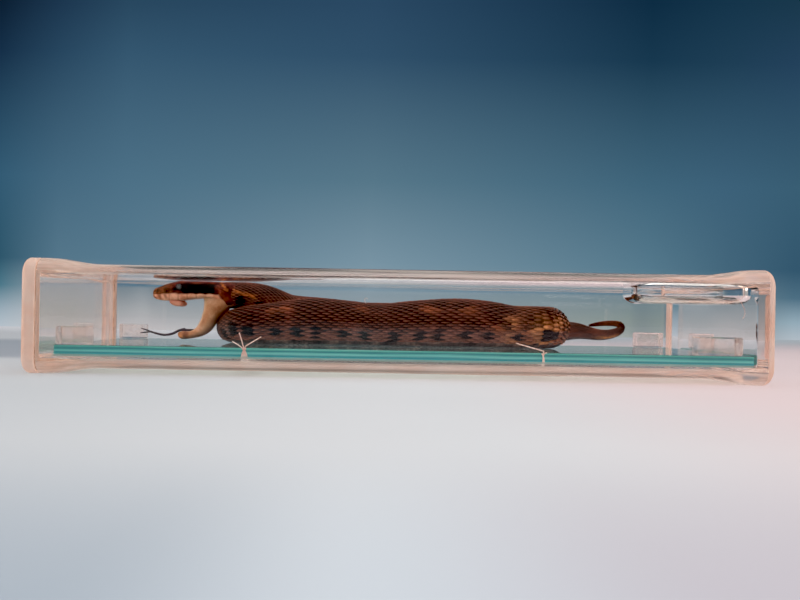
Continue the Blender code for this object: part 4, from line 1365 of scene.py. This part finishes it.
# %% [markdown]
# ## Threads, bubble and a stray fibre
# The coil is tied down with soft cotton sewing thread, 0.6 mm thick and spun from three plies. A
# tree turns each path into three thin strands that wind round each other, by sweeping three small
# circles along it while it tilts once every 1.6 mm.

# %% Tree that spins a thread
thread_tree, ins = geometry_tree(
    "three_ply_thread", {"Path": "Geometry", "Ply radius": "Float", "Twist": "Float",
        "Finish": "Material"})
path = add(thread_tree, "GeometryNodeMeshToCurve", {0: ins["Path"]})
far = add(thread_tree, "GeometryNodeSplineParameter")
lay = add(thread_tree, "ShaderNodeMath", {0: far.outputs["Length"], 1: ins["Twist"]},
    operation="MULTIPLY")
tilted = add(thread_tree, "GeometryNodeSetCurveTilt", {"Curve": path, "Tilt": lay})
circle = add(thread_tree, "GeometryNodeCurvePrimitiveCircle",
    {"Resolution": 6, "Radius": ins["Ply radius"]})
aside = add(thread_tree, "ShaderNodeCombineXYZ", {0: ins["Ply radius"]})
moved = add(thread_tree, "GeometryNodeTransform", {"Geometry": circle, "Translation": aside})
plies = add(thread_tree, "GeometryNodeJoinGeometry")
for third in range(3):
    turned = add(thread_tree, "GeometryNodeTransform",
        {"Geometry": moved, "Rotation": (0, 0, third * 2 * np.pi / 3)})
    thread_tree.links.new(turned.outputs[0], plies.inputs[0])
swept = add(thread_tree, "GeometryNodeCurveToMesh",
    {"Curve": tilted, "Profile Curve": plies, "Fill Caps": True})
soft = add(thread_tree, "GeometryNodeSetShadeSmooth", {0: swept})
real = add(thread_tree, "GeometryNodeRealizeInstances", {0: soft})
painted = add(thread_tree, "GeometryNodeSetMaterial", {"Geometry": real, "Material": ins["Finish"]})
add(thread_tree, "NodeGroupOutput", {0: painted})
cotton = mottled("bleached cotton thread", 240.0, 3.0, [(0.35, "#D9B4AC"), (0.6, "#F6E4DC")], {
    "Roughness": 0.85, "Specular IOR Level": 0.2, "Sheen Weight": 0.3})
print("thread tree nodes:", len(thread_tree.nodes))


# %% Ties
TWIST_LENGTH, PLY_RADIUS, FIBRE_RADIUS = 1.6, 0.13, 0.05


def spin(name, paths, ply, finish, body):
    """Threads along several paths in millimetres, as one plain mesh."""
    points, edges = [], []
    for way in paths:
        way = np.asarray(way, float)
        far = np.concatenate([[0], np.cumsum(np.linalg.norm(np.diff(way, axis=0), axis=1))])
        count = max(3, int(far[-1] / 0.3))
        fine = np.stack([np.interp(np.linspace(0, far[-1], count), far, way[:, i])
            for i in range(3)], -1)
        for _ in range(3):
            fine[1:-1] = (fine[:-2] + 2 * fine[1:-1] + fine[2:]) / 4
        edges += [(len(points) + i, len(points) + i + 1) for i in range(count - 1)]
        points += list(fine)
    mesh = bpy.data.meshes.new(name)
    mesh.from_pydata(np.array(points) / 1000, edges, [])
    made = run_tree(name, thread_tree, mesh,
        {"Ply radius": ply / 1000, "Twist": 2000 * np.pi / TWIST_LENGTH, "Finish": finish})
    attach(made, body)
    return made


def knot_path(centre, size):
    turns = np.linspace(0, 2 * np.pi, 40)
    loop = np.stack([np.sin(turns) + 2 * np.sin(2 * turns), np.cos(turns) - 2 * np.cos(2 * turns),
        -np.sin(3 * turns)], -1)
    return np.array(centre) + loop[:, [0, 2, 1]] * size * (0.3, 0.3, 0.26)


def tie(name, replaced, x, near_flank, far_flank, free_ends, knot_size, lanes):
    """A tie like the model's: from the near flank over the plate's edge, under it and up behind."""
    edge, above, below = PLATE_SIDE + 0.48, SEAT + 0.5, PLATE_UNDER - 0.45
    knot_at = (x, -edge - 0.1, SEAT - 0.7)
    paths = [[(near_flank[0], near_flank[1], SEAT + near_flank[2]),
        (x + 0.5, -edge + 0.7, above + 0.1), knot_at]]
    for lane, spread in lanes:
        paths.append([
            knot_at, (x + lane * 0.7, -edge, SEAT - 2.2),
            (x + lane, -edge, PLATE_UNDER + 0.5), (x + lane, -edge + 0.5, below),
            (x + lane + spread, 0, below),
            (x + lane, edge - 0.5, below), (x + lane, edge, PLATE_UNDER + 0.5),
            (x + lane * 0.8, edge, SEAT - 1.0),
            (x + lane * 0.5, edge - 0.35, above - 0.1),
            (far_flank[0], far_flank[1], SEAT + far_flank[2])])
    paths.append(knot_path(knot_at, knot_size))
    for dx, dy, dz in free_ends:
        end = np.array(knot_at) + (dx, dy, dz)
        middle = (np.array(knot_at) + end) / 2 + (0, 0, 0.25)
        paths.append([knot_at, middle, end])
    made = spin(name, paths, PLY_RADIUS, cotton, "mount")
    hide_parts(replaced)
    print(name, "faces:", len(made.data.polygons))


tie("head_end_tie", "tie_thread_head_end", -61.8, (-59.3, -19.0, 3.4), (-60.5, 38.6, 1.6),
    [(-4.8, 0.2, 3.1), (-2.3, 2.4, 6.6)], 1.0,
    [(-1.1, 0), (-0.5, 0.6), (0.1, -0.4), (0.7, 0.3), (1.3, 0)])
tie("tail_end_tie", "tie_thread_tail_end", 58.5, (54.5, -17.8, 2.6), (61.0, 38.2, 1.4),
    [(1.6, 0.4, 0.7)], 0.8, [(0.0, 0), (0.55, 0.3)])

# %% [markdown]
# An air bubble has gathered under the upper wall at the base end. Air in fluid bends light the
# other way, so its index is 1 to 1.36. A film of fluid stays between it and the walls, and its rim
# is rounded by surface tension. A loose fibre hangs under it.

# %% Bubble and stray fibre
air, tree, _ = new_material("air in preserving fluid")
lens = add(tree, "ShaderNodeBsdfGlass", {"Color": "#FFFFFF", "Roughness": 0.0, "IOR": AIR_IN_FLUID})
finish_material(tree, lamps_through(tree, lens, "#FFFFFF"))
left_x, right_x, near, deep = 95.4, BASE_INSIDE - 0.15, -INSIDE + 0.1, -34.0


def bubble_ring(inset):
    half, centre = (right_x - left_x) / 2 - inset, (left_x + right_x) / 2
    return outline(half, near + inset, deep - inset, 10.0 - inset * 0.7, 12, centre)


rings = []
for turn in np.radians(np.linspace(0, 90, 10)):
    rings.append((36.2 - 3.8 * np.cos(turn), bubble_ring(5.5 * (1 - np.sin(turn))), -np.cos(turn)))
for turn in np.radians(np.linspace(0, 90, 7)):
    height = CEILING - 0.1 - 1.3 * (1 - np.sin(turn))
    rings.append((height, bubble_ring(1.3 * (1 - np.cos(turn))), np.sin(turn)))
bubble = solid(
    "air_bubble",
    [(stack(rings, axis=2), 0), (lid_face(rings[0][0], rings[0][1], -1.0, 2), 0),
        (lid_face(rings[-1][0], rings[-1][1], 1.0, 2), 0)],
    [air], "jar",
)
lint = spin("stray_fibre", [
    smooth([(139.3, -62, 36.5), (138.7, -62.5, 34.5), (139.3, -62.3, 32.3), (140.3, -62, 30.5),
        (140.6, -61.5, 28.2), (139.9, -61, 26.6)], 0.5)[:, :3],
    smooth([(-12.6, -12.5, SEAT + 19.2), (-13.4, -13.2, SEAT + 20.6), (-12.9, -13.6, SEAT + 21.9),
        (-12.0, -13.9, SEAT + 21.2)], 0.4)[:, :3],
], FIBRE_RADIUS, cotton, "mount")
print("bubble faces:", len(bubble.data.polygons))
